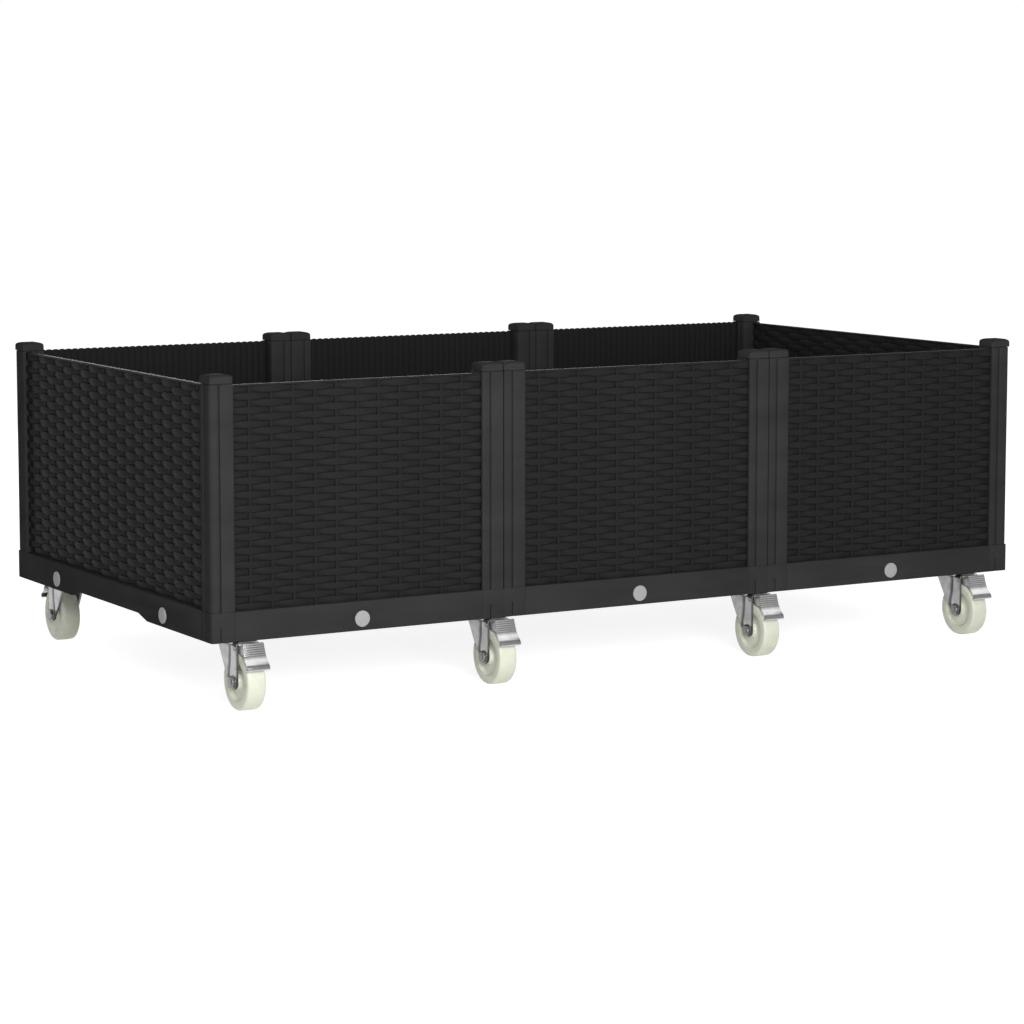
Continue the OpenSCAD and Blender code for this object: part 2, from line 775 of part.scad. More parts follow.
// Section of the wheel in (radius, width), revolved about the axle.
module wheel_section() {
    wheel_r = wheel_d / 2;
    bore_r = axle_d / 2 + axle_clear;
    tyre_in = wheel_r - tyre_t;
    translate([bore_r, -hub_len / 2]) square([hub_d / 2 - bore_r, hub_len]);
    translate([bore_r, -web_t / 2]) square([wheel_r - tyre_t / 2 - bore_r, web_t]);
    translate([tyre_in, -wheel_w / 2]) square([tyre_t - tread_r, wheel_w]);
    translate([tyre_in, tread_r - wheel_w / 2]) square([tyre_t, wheel_w - 2 * tread_r]);
    for (s = [-1, 1]) translate([wheel_r - tread_r, s * (wheel_w / 2 - tread_r)])
        circle(r = tread_r, $fn = $fn / 2);
}

module wheel() {
    color(ivory) translate([0, -trail, axle_z]) rotate([0, quarter, 0])
        rotate_extrude() wheel_section();
}

// Side view of a pedal flange in (Y, Z): from the pin out to the foot plate.
module flange_outline() {
    pin = [pin_y, pin_z];
    translate(pin) difference() {
        union() {
            circle(r = flange_r);
            polygon([
                [0, flange_r], [0, -flange_r], [-shoe_near, shoe_low],
                [-shoe_near - shoe_len, shoe_low], plate_bend, plate_top,
                [leg_front - pin_y - flange_gap, flange_r]
            ]);
        }
        circle(r = pin_d / 2 + pin_clear);
    }
}

// Side view of the foot plate from the pin: an upright ribbed part, a sloping middle and
// a rolled lip.
module foot_plate() {
    bent_sheet([plate_top, plate_bend, plate_knee, plate_lip], pedal_t);
    translate(plate_lip) circle(d = lip_d);
    for (i = [1 : pedal_ribs])
        translate(plate_top + (plate_bend - plate_top) * i / (pedal_ribs + 1))
            translate([-pedal_t / 2, 0]) circle(r = pedal_rib_h);
}

module pedal() {
    pin = [pin_y, pin_z];
    color(bright_zinc) {
        for (x = [-flange_out, flange_out - flange_t]) translate([x, 0, 0])
            rotate([quarter, 0, quarter]) linear_extrude(flange_t) flange_outline();
        // Foot plate, drawn from the side
        translate([-pedal_w / 2, 0, 0]) rotate([quarter, 0, quarter])
            linear_extrude(pedal_w) translate(pin) foot_plate();
        // Shoe that bears on the tread
        box_between(
            [-flange_out + flange_t / 2, pin_y - shoe_near - shoe_len, pin_z + shoe_low],
            [flange_out - flange_t / 2, pin_y - shoe_near, pin_z + shoe_low + shoe_t]);
    }
}

// Drain plug on the drain's axis, with its head outside the skirt.
module plug() {
    color(pale_grey) {
        spout(plug_head_d, -plug_head_t, 0);
        spout(drain_d - 2 * plug_clear, -plug_head_t / 2, plug_len);
    }
}

// The assembly, one line or loop for each kind of node

for (i = [0 : len(BAYS) - 1]) {
    bay = BAYS[i];
    tray_with_pads(bay);
    at_corner(bay, 0) woven_panel(bay_w);
    at_corner(bay, 2) woven_panel(bay_w);
    at_drain(drains(bay)[0]) plug();
    at_drain(drains(bay)[1]) plug();
}
at_corner(BAYS[0], 3) woven_panel(bed_d);  // side_panel_left
at_corner(BAYS[len(BAYS) - 1], 1) woven_panel(bed_d);  // side_panel_right
posts(true);  // corner_posts
posts(false);  // joint_posts
post_caps();
caster_bosses();
swivel_stems();
stem_washers();
stem_nuts();
for (end = ENDS, i = CASTERS) {
    at_caster(end, i) fork();
    at_caster(end, i) bolts();
    at_caster(end, i) wheel();
    at_caster(end, i) pedal();
}
for (i = [0, 1]) {
    at_drain(drains(BAYS[0])[2 + i]) plug();
    at_drain(drains(BAYS[len(BAYS) - 1])[2 + i]) plug();
}
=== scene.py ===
"""Rolling planter: woven panels, moulded trays and posts, and galvanised braked casters."""

import logging
import math
from abc import ABC, abstractmethod
from collections.abc import Callable, Sequence
from dataclasses import dataclass, field
from enum import Enum

import bmesh
import bpy
from mathutils import Matrix, Vector


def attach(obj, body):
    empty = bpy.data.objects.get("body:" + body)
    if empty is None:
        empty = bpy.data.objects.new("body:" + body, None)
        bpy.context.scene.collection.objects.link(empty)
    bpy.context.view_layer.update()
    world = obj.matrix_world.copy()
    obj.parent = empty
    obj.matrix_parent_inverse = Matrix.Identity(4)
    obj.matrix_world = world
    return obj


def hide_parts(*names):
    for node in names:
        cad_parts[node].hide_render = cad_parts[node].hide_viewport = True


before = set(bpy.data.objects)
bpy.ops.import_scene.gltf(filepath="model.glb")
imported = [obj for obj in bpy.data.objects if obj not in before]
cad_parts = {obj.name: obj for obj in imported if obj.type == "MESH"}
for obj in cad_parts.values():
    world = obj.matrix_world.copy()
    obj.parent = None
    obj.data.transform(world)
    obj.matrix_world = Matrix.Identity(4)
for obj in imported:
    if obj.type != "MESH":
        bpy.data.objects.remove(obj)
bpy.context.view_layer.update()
LOG = logging.getLogger("planter")
Point = tuple[float, float]
Place = tuple[float, float, float]
Socket = bpy.types.NodeSocket


class Side(Enum):
    """A side of the bed, with the turn that brings a front-facing piece round to it."""

    FRONT = 0
    RIGHT = 90
    BACK = 180
    LEFT = 270


class Bay(Enum):
    """One of the three bays, as its place along the bed."""

    LEFT = -1
    MIDDLE = 0
    RIGHT = 1

    @property
    def word(self) -> str:
        """The bay's name as the nodes spell it."""
        return self.name.lower()


def ramp(value: float, start: float, end: float) -> float:
    """Go from 0 at a start to 1 at an end, with no change beyond them."""
    return min(1.0, max(0.0, (value - start) / (end - start)))


def eased(share: float) -> float:
    """Ease a share from 0 to 1 in and out."""
    return share * share * (3 - 2 * share)


# ---- Node trees -----------------------------------------------------------------------


class NodeTree:
    """A node tree under construction, with short ways to add, set and link its nodes."""

    def __init__(self, tree: bpy.types.NodeTree) -> None:
        """Take up the tree to build in."""
        self.tree = tree

    def put(self, value: object, socket: Socket) -> None:
        """Link a socket to a socket, or set its plain value."""
        if isinstance(value, Socket):
            self.tree.links.new(value, socket)
        else:
            socket.default_value = value

    def node(self, kind: str, settings: dict[str, object] | None = None,
             **values: object) -> bpy.types.Node:
        """Add a node.

        Args:
            kind: Blender's identifier of the node.
            settings: Node settings by name.
            values: Input values or links by socket name, with _ for a space.

        Returns:
            The new node.
        """
        made = self.tree.nodes.new(kind)
        for name, value in (settings or {}).items():
            setattr(made, name, value)
        for name, value in values.items():
            self.put(value, made.inputs[name.replace("_", " ")])
        return made

    def math(self, operation: str, *values: object) -> Socket:
        """Add one arithmetic step.

        Args:
            operation: Blender's name of the operation.
            values: Its values or sockets, in order.

        Returns:
            The result.
        """
        made = self.node("ShaderNodeMath", {"operation": operation})
        for value, socket in zip(values, made.inputs):
            self.put(value, socket)
        return made.outputs[0]

    def plus(self, first: object, second: object) -> Socket:
        """Add two values."""
        return self.math("ADD", first, second)

    def minus(self, first: object, second: object) -> Socket:
        """Subtract the second value from the first."""
        return self.math("SUBTRACT", first, second)

    def times(self, first: object, second: object) -> Socket:
        """Multiply two values."""
        return self.math("MULTIPLY", first, second)

    def seen(self) -> Socket:
        """Give 1 on rays that show the surroundings plainly, and 0 on those that light."""
        path = self.node("ShaderNodeLightPath").outputs
        plain = self.math("MAXIMUM", path["Is Camera Ray"], path["Is Glossy Ray"])
        return self.math("MAXIMUM", plain, path["Is Transmission Ray"])


# ---- Finishes -------------------------------------------------------------------------


class Shader(NodeTree):
    """A material's node tree, with a principled surface."""

    def __init__(self, name: str) -> None:
        """Start a material of a name."""
        self.material = bpy.data.materials.new(name)
        self.material.use_nodes = True
        super().__init__(self.material.node_tree)
        self.surface = self.tree.nodes["Principled BSDF"]
        self.place = self.node("ShaderNodeTexCoord").outputs

    def give(self, **values: object) -> None:
        """Set or link inputs of the surface, by socket name with _ for a space."""
        for name, value in values.items():
            self.put(value, self.surface.inputs[name.replace("_", " ")])

    def stretched(self, source: str, scale: Place) -> Socket:
        """Give a coordinate, such as Object or UV, stretched by a scale on each axis."""
        return self.node("ShaderNodeMapping", Vector=self.place[source],
                         Scale=scale).outputs["Vector"]

    def noise(self, vector: Socket, scale: float, detail: float = 2.0) -> Socket:
        """Give a noise value from 0 to 1 at a scale."""
        return self.node("ShaderNodeTexNoise", Vector=vector, Scale=scale,
                         Detail=detail).outputs["Fac"]

    def between(self, factor: Socket, low: float, high: float) -> Socket:
        """Map a noise value to a range.

        Args:
            factor: Noise value, mostly between 0.3 and 0.7.
            low: Result at 0.3.
            high: Result at 0.7.

        Returns:
            The mapped value.
        """
        return self.node("ShaderNodeMapRange", Value=factor, From_Min=0.3, From_Max=0.7,
                         To_Min=low, To_Max=high).outputs["Result"]

    def tint(self, factor: Socket, dark: Place, light: Place) -> Socket:
        """Mix two colours by a factor."""
        mix = self.node("ShaderNodeMix", {"data_type": "RGBA"}, Factor=factor)
        first, second = mix.inputs[6:8]
        first.default_value = (*dark, 1.0)
        second.default_value = (*light, 1.0)
        return mix.outputs[2]

    def bump(self, height: Socket, strength: float, depth: float,
             under: Socket | None = None) -> Socket:
        """Give a bumped normal.

        Args:
            height: Height field.
            strength: How much of the bump to use.
            depth: Height of the bump in metres.
            under: A normal to add the bump to.

        Returns:
            The bumped normal.
        """
        made = self.node("ShaderNodeBump", Height=height, Strength=strength,
                         Distance=depth)
        if under is not None:
            self.put(under, made.inputs["Normal"])
        return made.outputs["Normal"]


@dataclass(frozen=True)
class Finish(ABC):
    """A surface finish.

    Attributes:
        slot: Slot of the record that the finish stands for.
        colour: Linear base colour.
        roughness: Mean roughness.
        specular: Specular level.
    """

    slot: str
    colour: Place
    roughness: float
    specular: float = 0.5

    @abstractmethod
    def dress(self, shader: Shader) -> None:
        """Build the finish's own nodes on a shader."""

    def shaded(self, shader: Shader, factor: Socket, dark: float, light: float) -> Socket:
        """Vary the base colour.

        Args:
            shader: Shader under construction.
            factor: Field that picks the shade, from 0 to 1.
            dark: Share of the base colour at 0.
            light: Share of the base colour at 1.

        Returns:
            The varied colour.
        """
        return shader.tint(factor, *(tuple(min(1.0, channel * share)
                                           for channel in self.colour)
                                     for share in (dark, light)))

    def material(self) -> bpy.types.Material:
        """Give the finish as a material, made once and then reused.

        Returns:
            The material, whose name is the slot's with a mark that no CAD material has.
        """
        name = f"{self.slot}_finish"
        made = bpy.data.materials.get(name)
        if made is None:
            shader = Shader(name)
            shader.give(Specular_IOR_Level=self.specular)
            self.dress(shader)
            made = shader.material
        return made


@dataclass(frozen=True)
class MouldedPlastic(Finish):
    """Plastic out of a mould with a fine spark-eroded grain and faint flow marks.

    Attributes:
        grain: Grains in a metre.
        grain_depth: Depth of the grain in metres.
        mottle: How far the colour wanders, as a share.
    """

    grain: float = 1400.0
    grain_depth: float = 0.00004
    mottle: float = 0.12

    def dress(self, shader: Shader) -> None:
        """Build grain, flow marks and a little wander in colour and gloss."""
        place = shader.place["Object"]
        flow = shader.noise(shader.stretched("Object", (1.0, 1.0, 3.0)), 9.0, 4.0)
        gloss = shader.noise(place, 35.0, 5.0)
        fine = shader.noise(place, self.grain)
        soft = shader.bump(flow, 0.25, 0.0004)
        shader.give(
            Base_Color=self.shaded(shader, shader.between(flow, 0.0, 1.0),
                                   1 - self.mottle, 1 + self.mottle),
            Roughness=shader.between(gloss, self.roughness - 0.05, self.roughness + 0.06),
            Normal=shader.bump(fine, 0.7, self.grain_depth, soft))


@dataclass(frozen=True)
class StrandPlastic(Finish):
    """Plastic strands with fine lines drawn along them, read from the strand's own map.

    Attributes:
        lines: Lines round a strand.
        line_depth: Depth of a line in metres.
        grain: Grains in a metre.
    """

    lines: float = 26.0
    line_depth: float = 0.00012
    grain: float = 1500.0

    def dress(self, shader: Shader) -> None:
        """Build the drawn lines, and a slow change of shade along each strand."""
        drawn = shader.noise(shader.stretched("UV", (14.0, self.lines, 1.0)), 1.0, 3.0)
        slow = shader.noise(shader.stretched("UV", (9.0, 1.0, 1.0)), 2.0)
        shade = shader.between(shader.times(shader.plus(drawn, slow), 0.5), 0.0, 1.0)
        fine = shader.noise(shader.place["Object"], self.grain)
        lined = shader.bump(drawn, 0.6, self.line_depth)
        shader.give(
            Base_Color=self.shaded(shader, shade, 0.8, 1.2),
            Roughness=shader.between(drawn, self.roughness - 0.06, self.roughness + 0.1),
            Normal=shader.bump(fine, 0.5, 0.00004, lined))


@dataclass(frozen=True)
class ZincPlate(Finish):
    """Zinc-plated steel with soft spangle, a brushed bloom and painted shade read from the
    mesh.

    Attributes:
        spangle: Spangles in a metre.
        contrast: How far light and dark spangles differ, as a share.
        painted_shade_strength: How much darker the plate is painted where a mesh's
            painted-shade attribute is high; this painted shade, and the painted highlight
            left where it is low, stand in for reflected light.
    """

    spangle: float = 260.0
    contrast: float = 0.16
    painted_shade_strength: float = 0.76

    def dress(self, shader: Shader) -> None:
        """Build the spangle, the bloom, the painted shade that the mesh's attribute asks
        for, and the fine roll marks.
        """
        place = shader.place["Object"]
        cells = shader.node("ShaderNodeTexVoronoi", Vector=place, Scale=self.spangle)
        grey = shader.node("ShaderNodeSeparateColor", Color=cells.outputs["Color"])
        bloom = shader.noise(place, 90.0, 5.0)
        mixed = shader.math("MULTIPLY_ADD", grey.outputs[0], 0.25,
                            shader.between(bloom, 0.0, 0.75))
        # Painted shade and painted highlight: a mesh attribute darkens the base colour
        # where the metal should reflect less light
        dull = shader.node("ShaderNodeAttribute", {"attribute_name": "dull"})
        plate = shader.node(
            "ShaderNodeVectorMath", {"operation": "SCALE"},
            Vector=self.shaded(shader, mixed, 1 - self.contrast, 1 + self.contrast),
            Scale=shader.between(dull.outputs["Fac"], 1.0, 1.0 - self.painted_shade_strength))
        marks = shader.noise(shader.stretched("Object", (60.0, 60.0, 6.0)), 40.0, 3.0)
        shader.give(
            Metallic=1.0, Base_Color=plate.outputs[0],
            Roughness=shader.between(bloom, self.roughness + 0.07, self.roughness - 0.06),
            Normal=shader.bump(marks, 0.35, 0.00008))


@dataclass(frozen=True)
class Nylon(Finish):
    """Cast nylon: waxy, a little translucent, with faint turning marks.

    Attributes:
        depth_tint: Colour that light takes on inside it.
        depth: How far light goes in, in metres.
    """

    depth_tint: Place = (0.75, 0.82, 0.5)
    depth: float = 0.006

    def dress(self, shader: Shader) -> None:
        """Build the waxy colour, its cloudiness and a fine bump."""
        place = shader.place["Object"]
        cloud = shader.noise(place, 60.0, 4.0)
        gloss = shader.noise(place, 160.0, 4.0)
        marks = shader.noise(place, 900.0, 3.0)
        shader.give(
            Base_Color=self.shaded(shader, shader.between(cloud, 0.0, 1.0), 0.95, 1.03),
            Roughness=shader.between(gloss, self.roughness - 0.05, self.roughness + 0.08),
            Subsurface_Weight=0.5, Subsurface_Radius=self.depth_tint,
            Subsurface_Scale=self.depth, Normal=shader.bump(marks, 0.4, 0.00005))


CHARCOAL = MouldedPlastic("charcoal_plastic", (0.0444, 0.0444, 0.0444), 0.6, 0.002)
WOVEN = StrandPlastic("woven_plastic", (0.0225, 0.0225, 0.0225), 0.5, 0.025)
BLACK = MouldedPlastic("black_plastic", (0.010, 0.010, 0.010), 0.6, 0.02)
ZINC = ZincPlate("zinc", (0.43, 0.435, 0.43), 0.42)
BRIGHT_ZINC = ZincPlate("bright_zinc", (0.85, 0.855, 0.85), 0.28, spangle=420.0,
                        contrast=0.1)
WHEEL_NYLON = Nylon("wheel_plastic", (0.90, 0.92, 0.77), 0.38, 0.4)
PLUG_PLASTIC = MouldedPlastic("plug_plastic", (0.46, 0.46, 0.46), 0.5, 0.15, mottle=0.04)


# ---- Mesh tools -----------------------------------------------------------------------


class Bench:
    """Turns meshes into finished pieces, and holds the shared mesh operations."""

    SMOOTH = math.radians(38.0)
    FLAT = math.radians(0.5)
    WELD = 0.000005

    @staticmethod
    def evaluated(mesh: bpy.types.Mesh,
                  setup: Callable[[bpy.types.Object], None]) -> bpy.types.Mesh:
        """Run modifiers on a mesh.

        Args:
            mesh: The mesh, which is used up.
            setup: Adds the modifiers to an object that holds the mesh.

        Returns:
            The plain resulting mesh.
        """
        holder = bpy.data.objects.new("holder", mesh)
        bpy.context.scene.collection.objects.link(holder)
        setup(holder)
        graph = bpy.context.evaluated_depsgraph_get()
        made = bpy.data.meshes.new_from_object(holder.evaluated_get(graph))
        bpy.data.objects.remove(holder)
        bpy.data.meshes.remove(mesh)
        return made

    @staticmethod
    def bevel(holder: bpy.types.Object, width: float, steps: int = 2,
              angle: float = 30.0) -> bpy.types.Modifier:
        """Add a rounding of the sharp edges.

        Args:
            holder: The object to add it to.
            width: Width of the rounding in metres.
            steps: Segments of the rounding.
            angle: Smallest angle in degrees that counts as an edge.

        Returns:
            The modifier.
        """
        made = holder.modifiers.new("edges", "BEVEL")
        made.width = width
        made.segments = steps
        made.limit_method = "ANGLE"
        made.angle_limit = math.radians(angle)
        return made

    @classmethod
    def bevelled(cls, mesh: bpy.types.Mesh, width: float, steps: int = 2) -> bpy.types.Mesh:
        """Round a mesh's sharp edges.

        Args:
            mesh: The mesh, which is used up.
            width: Width of the rounding in metres.
            steps: Segments of the rounding.

        Returns:
            The rounded mesh.
        """
        def setup(holder: bpy.types.Object) -> None:
            """Add the rounding, with arcs where edges meet."""
            cls.bevel(holder, width, steps).miter_outer = "MITER_ARC"

        return cls.evaluated(mesh, setup)

    @classmethod
    def softened(cls, node: str, width: float, steps: int = 2) -> bpy.types.Mesh:
        """Copy a solid of the frame with its edges rounded.

        Args:
            node: Name of the frame's node.
            width: Width of the rounding in metres.
            steps: Segments of the rounding.

        Returns:
            The rounded copy.
        """
        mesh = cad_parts[node].data.copy()
        mesh.materials.clear()
        shape = bmesh.new()
        shape.from_mesh(mesh)
        bmesh.ops.remove_doubles(shape, verts=shape.verts, dist=cls.WELD)
        bmesh.ops.dissolve_degenerate(shape, dist=cls.WELD, edges=shape.edges)
        bmesh.ops.dissolve_limit(shape, angle_limit=cls.FLAT, verts=shape.verts,
                                 edges=shape.edges)
        shape.to_mesh(mesh)
        shape.free()
        return cls.bevelled(mesh, width, steps)

    @classmethod
    def piece(cls, name: str, mesh: bpy.types.Mesh, finish: Finish, node: str,
              body: str = "planter") -> None:
        """Turn a mesh into a finished piece of the object.

        Args:
            name: Name of the piece.
            mesh: Its mesh, in the shared frame.
            finish: Its finish.
            node: Node of the frame that it stands for.
            body: Body that it rides on.
        """
        mesh.name = name
        mesh.materials.clear()
        mesh.materials.append(finish.material())
        mesh.shade_smooth()
        mesh.set_sharp_from_angle(angle=cls.SMOOTH)
        made = bpy.data.objects.new(name, mesh)
        bpy.context.scene.collection.objects.link(made)
        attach(made, body)
        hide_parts(node)
        LOG.info("%s on %s: %d faces", name, body, len(mesh.polygons))

    @staticmethod
    def mesh_of(shape: bmesh.types.BMesh) -> bpy.types.Mesh:
        """Turn a working shape into a mesh with its faces outwards, and free it."""
        bmesh.ops.recalc_face_normals(shape, faces=shape.faces)
        mesh = bpy.data.meshes.new("mesh")
        shape.to_mesh(mesh)
        shape.free()
        return mesh

    @staticmethod
    def joined(meshes: Sequence[bpy.types.Mesh]) -> bpy.types.Mesh:
        """Put several meshes into one and remove them."""
        shape = bmesh.new()
        for mesh in meshes:
            shape.from_mesh(mesh)
            bpy.data.meshes.remove(mesh)
        made = bpy.data.meshes.new("joined")
        shape.to_mesh(made)
        shape.free()
        return made

    @staticmethod
    def filleted(points: Sequence[Point], radii: Sequence[float], steps: int = 5,
                 closed: bool = False) -> list[Point]:
        """Round the corners of a line of points.

        Args:
            points: Corners of the line.
            radii: Radius at each corner, or 0 for none.
            steps: Segments of each arc.
            closed: Whether the last corner joins the first.

        Returns:
            The rounded line.
        """
        line: list[Point] = []
        count = len(points)
        for i, (at, radius) in enumerate(zip(points, radii)):
            if radius <= 0 or (not closed and i in (0, count - 1)):
                line.append(tuple(at))
                continue
            here = Vector(at)
            back = Vector(points[i - 1]) - here
            onward = Vector(points[(i + 1) % count]) - here
            reach = min(radius / math.tan(back.angle(onward) / 2), back.length * 0.49,
                        onward.length * 0.49)
            start = here + back.normalized() * reach
            end = here + onward.normalized() * reach
            for k in range(steps + 1):
                t = k / steps
                line.append(tuple(start * (1 - t) ** 2 + here * 2 * t * (1 - t)
                                  + end * t ** 2))
        return line

    @staticmethod
    def skin(shape: bmesh.types.BMesh, rows: Sequence[Sequence[Place]],
             closed: bool = True, ring: bool = False) -> list[list[bmesh.types.BMVert]]:
        """Add rows of points to a shape, with faces between each row and the next.

        Args:
            shape: The shape to add to.
            rows: The rows. A row of one point is a pole.
            closed: Whether each row's last point joins its first.
            ring: Whether the last row joins the first.

        Returns:
            The rows of vertices.
        """
        made = [[shape.verts.new(at) for at in row] for row in rows]
        for low, high in zip(made, made[1:] + made[:1] if ring else made[1:]):
            count = max(len(low), len(high))
            for k in range(count if closed else count - 1):
                after = (k + 1) % count
                corners = dict.fromkeys((low[k % len(low)], low[after % len(low)],
                                         high[after % len(high)], high[k % len(high)]))
                shape.faces.new(list(corners))
        return made

    @classmethod
    def lofted(cls, rows: Sequence[Sequence[Place]], ends: Sequence[int] = (0, -1),
               ring: bool = False) -> bpy.types.Mesh:
        """Make a mesh over rows of points.

        Args:
            rows: The rows. A row of one point is a pole.
            ends: Rows that get a flat face of their own.
            ring: Whether the last row joins the first.

        Returns:
            A closed mesh.
        """
        shape = bmesh.new()
        made = cls.skin(shape, rows, ring=ring)
        for end in ends:
            shape.faces.new(made[end])
        return cls.mesh_of(shape)

    @classmethod
    def lathed(cls, outline: Sequence[Point], ring: bool = False,
               turns: int = 56) -> bpy.types.Mesh:
        """Turn an outline about the X axis.

        Args:
            outline: Points as (radius, x).
            ring: Whether the outline is a closed loop round a bore. Otherwise it starts
                and ends on the axis.
            turns: Number of faces round the axis.

        Returns:
            A closed mesh.
        """
        around = [2 * math.pi * k / turns for k in range(turns)]
        rows = [[(x, radius * math.cos(a), radius * math.sin(a)) for a in around]
                if radius > 0 else [(x, 0.0, 0.0)] for radius, x in outline]
        return cls.lofted(rows, (), ring)

    @classmethod
    def extruded(cls, outline: Sequence[Point], low: float, high: float) -> bpy.types.Mesh:
        """Extrude a closed side-view outline of (y, z) along X from low to high."""
        return cls.lofted([[(x, *at) for at in outline] for x in (low, high)])


# ---- Geometry node trees --------------------------------------------------------------


class FieldTree(NodeTree):
    """A geometry node tree with named inputs and one geometry output."""

    def __init__(self, name: str) -> None:
        """Start a tree of a name."""
        super().__init__(bpy.data.node_groups.new(name, "GeometryNodeTree"))
        self.tree.interface.new_socket("Geometry", in_out="OUTPUT",
                                       socket_type="NodeSocketGeometry")
        self.source = self.node("NodeGroupInput")
        self.sink = self.node("NodeGroupOutput")
        self.names: dict[str, str] = {}

    def size(self, name: str, default: float | int) -> Socket:
        """Add a named input.

        Args:
            name: Name of the input.
            default: Its value, whose type gives the socket's type.

        Returns:
            The socket inside the tree.
        """
        kind = "NodeSocketInt" if isinstance(default, int) else "NodeSocketFloat"
        item = self.tree.interface.new_socket(name, in_out="INPUT", socket_type=kind)
        item.default_value = default
        self.names[name] = item.identifier
        return self.source.outputs[name]

    def vector(self, x: object = 0.0, y: object = 0.0, z: object = 0.0) -> Socket:
        """Combine three values into a vector."""
        return self.node("ShaderNodeCombineXYZ", X=x, Y=y, Z=z).outputs[0]

    def rod(self, sides: int) -> Socket:
        """Make an upright rod of unit width and height about the origin."""
        return self.node("GeometryNodeMeshCylinder", {"fill_type": "NGON"},
                         Vertices=sides, Radius=0.5, Depth=1.0).outputs["Mesh"]

    def joined(self, parts: Sequence[Socket]) -> Socket:
        """Join parts into one geometry."""
        join = self.node("GeometryNodeJoinGeometry")
        for part in parts:
            self.put(part, join.inputs[0])
        return join.outputs[0]

    def row_of(self, thing: Socket, count: object, start: Socket, step: Socket) -> Socket:
        """Repeat a piece along a line.

        Args:
            thing: Geometry to repeat.
            count: Number of copies.
            start: Place of the first copy.
            step: Step from each copy to the next.

        Returns:
            The instances.
        """
        line = self.node("GeometryNodeMeshLine", {"mode": "OFFSET"}, Count=count,
                         Start_Location=start, Offset=step)
        return self.node("GeometryNodeInstanceOnPoints", Points=line.outputs[0],
                         Instance=thing).outputs[0]

    def close(self, parts: Sequence[Socket], material: bpy.types.Material) -> None:
        """End the tree: join the parts, realise them and set their material."""
        real = self.node("GeometryNodeRealizeInstances", Geometry=self.joined(parts))
        dressed = self.node("GeometryNodeSetMaterial", Geometry=real.outputs[0],
                            Material=material)
        self.put(dressed.outputs[0], self.sink.inputs[0])

    def run(self, **values: float | int) -> bpy.types.Mesh:
        """Evaluate the tree.

        Args:
            values: Values of the named inputs, with _ for a space.

        Returns:
            The plain mesh that it makes.
        """
        def setup(holder: bpy.types.Object) -> None:
            """Add the tree as a modifier and set its inputs."""
            modifier = holder.modifiers.new("tree", "NODES")
            modifier.node_group = self.tree
            for name, value in values.items():
                modifier[self.names[name.replace("_", " ")]] = value

        return Bench.evaluated(bpy.data.meshes.new("seed"), setup)


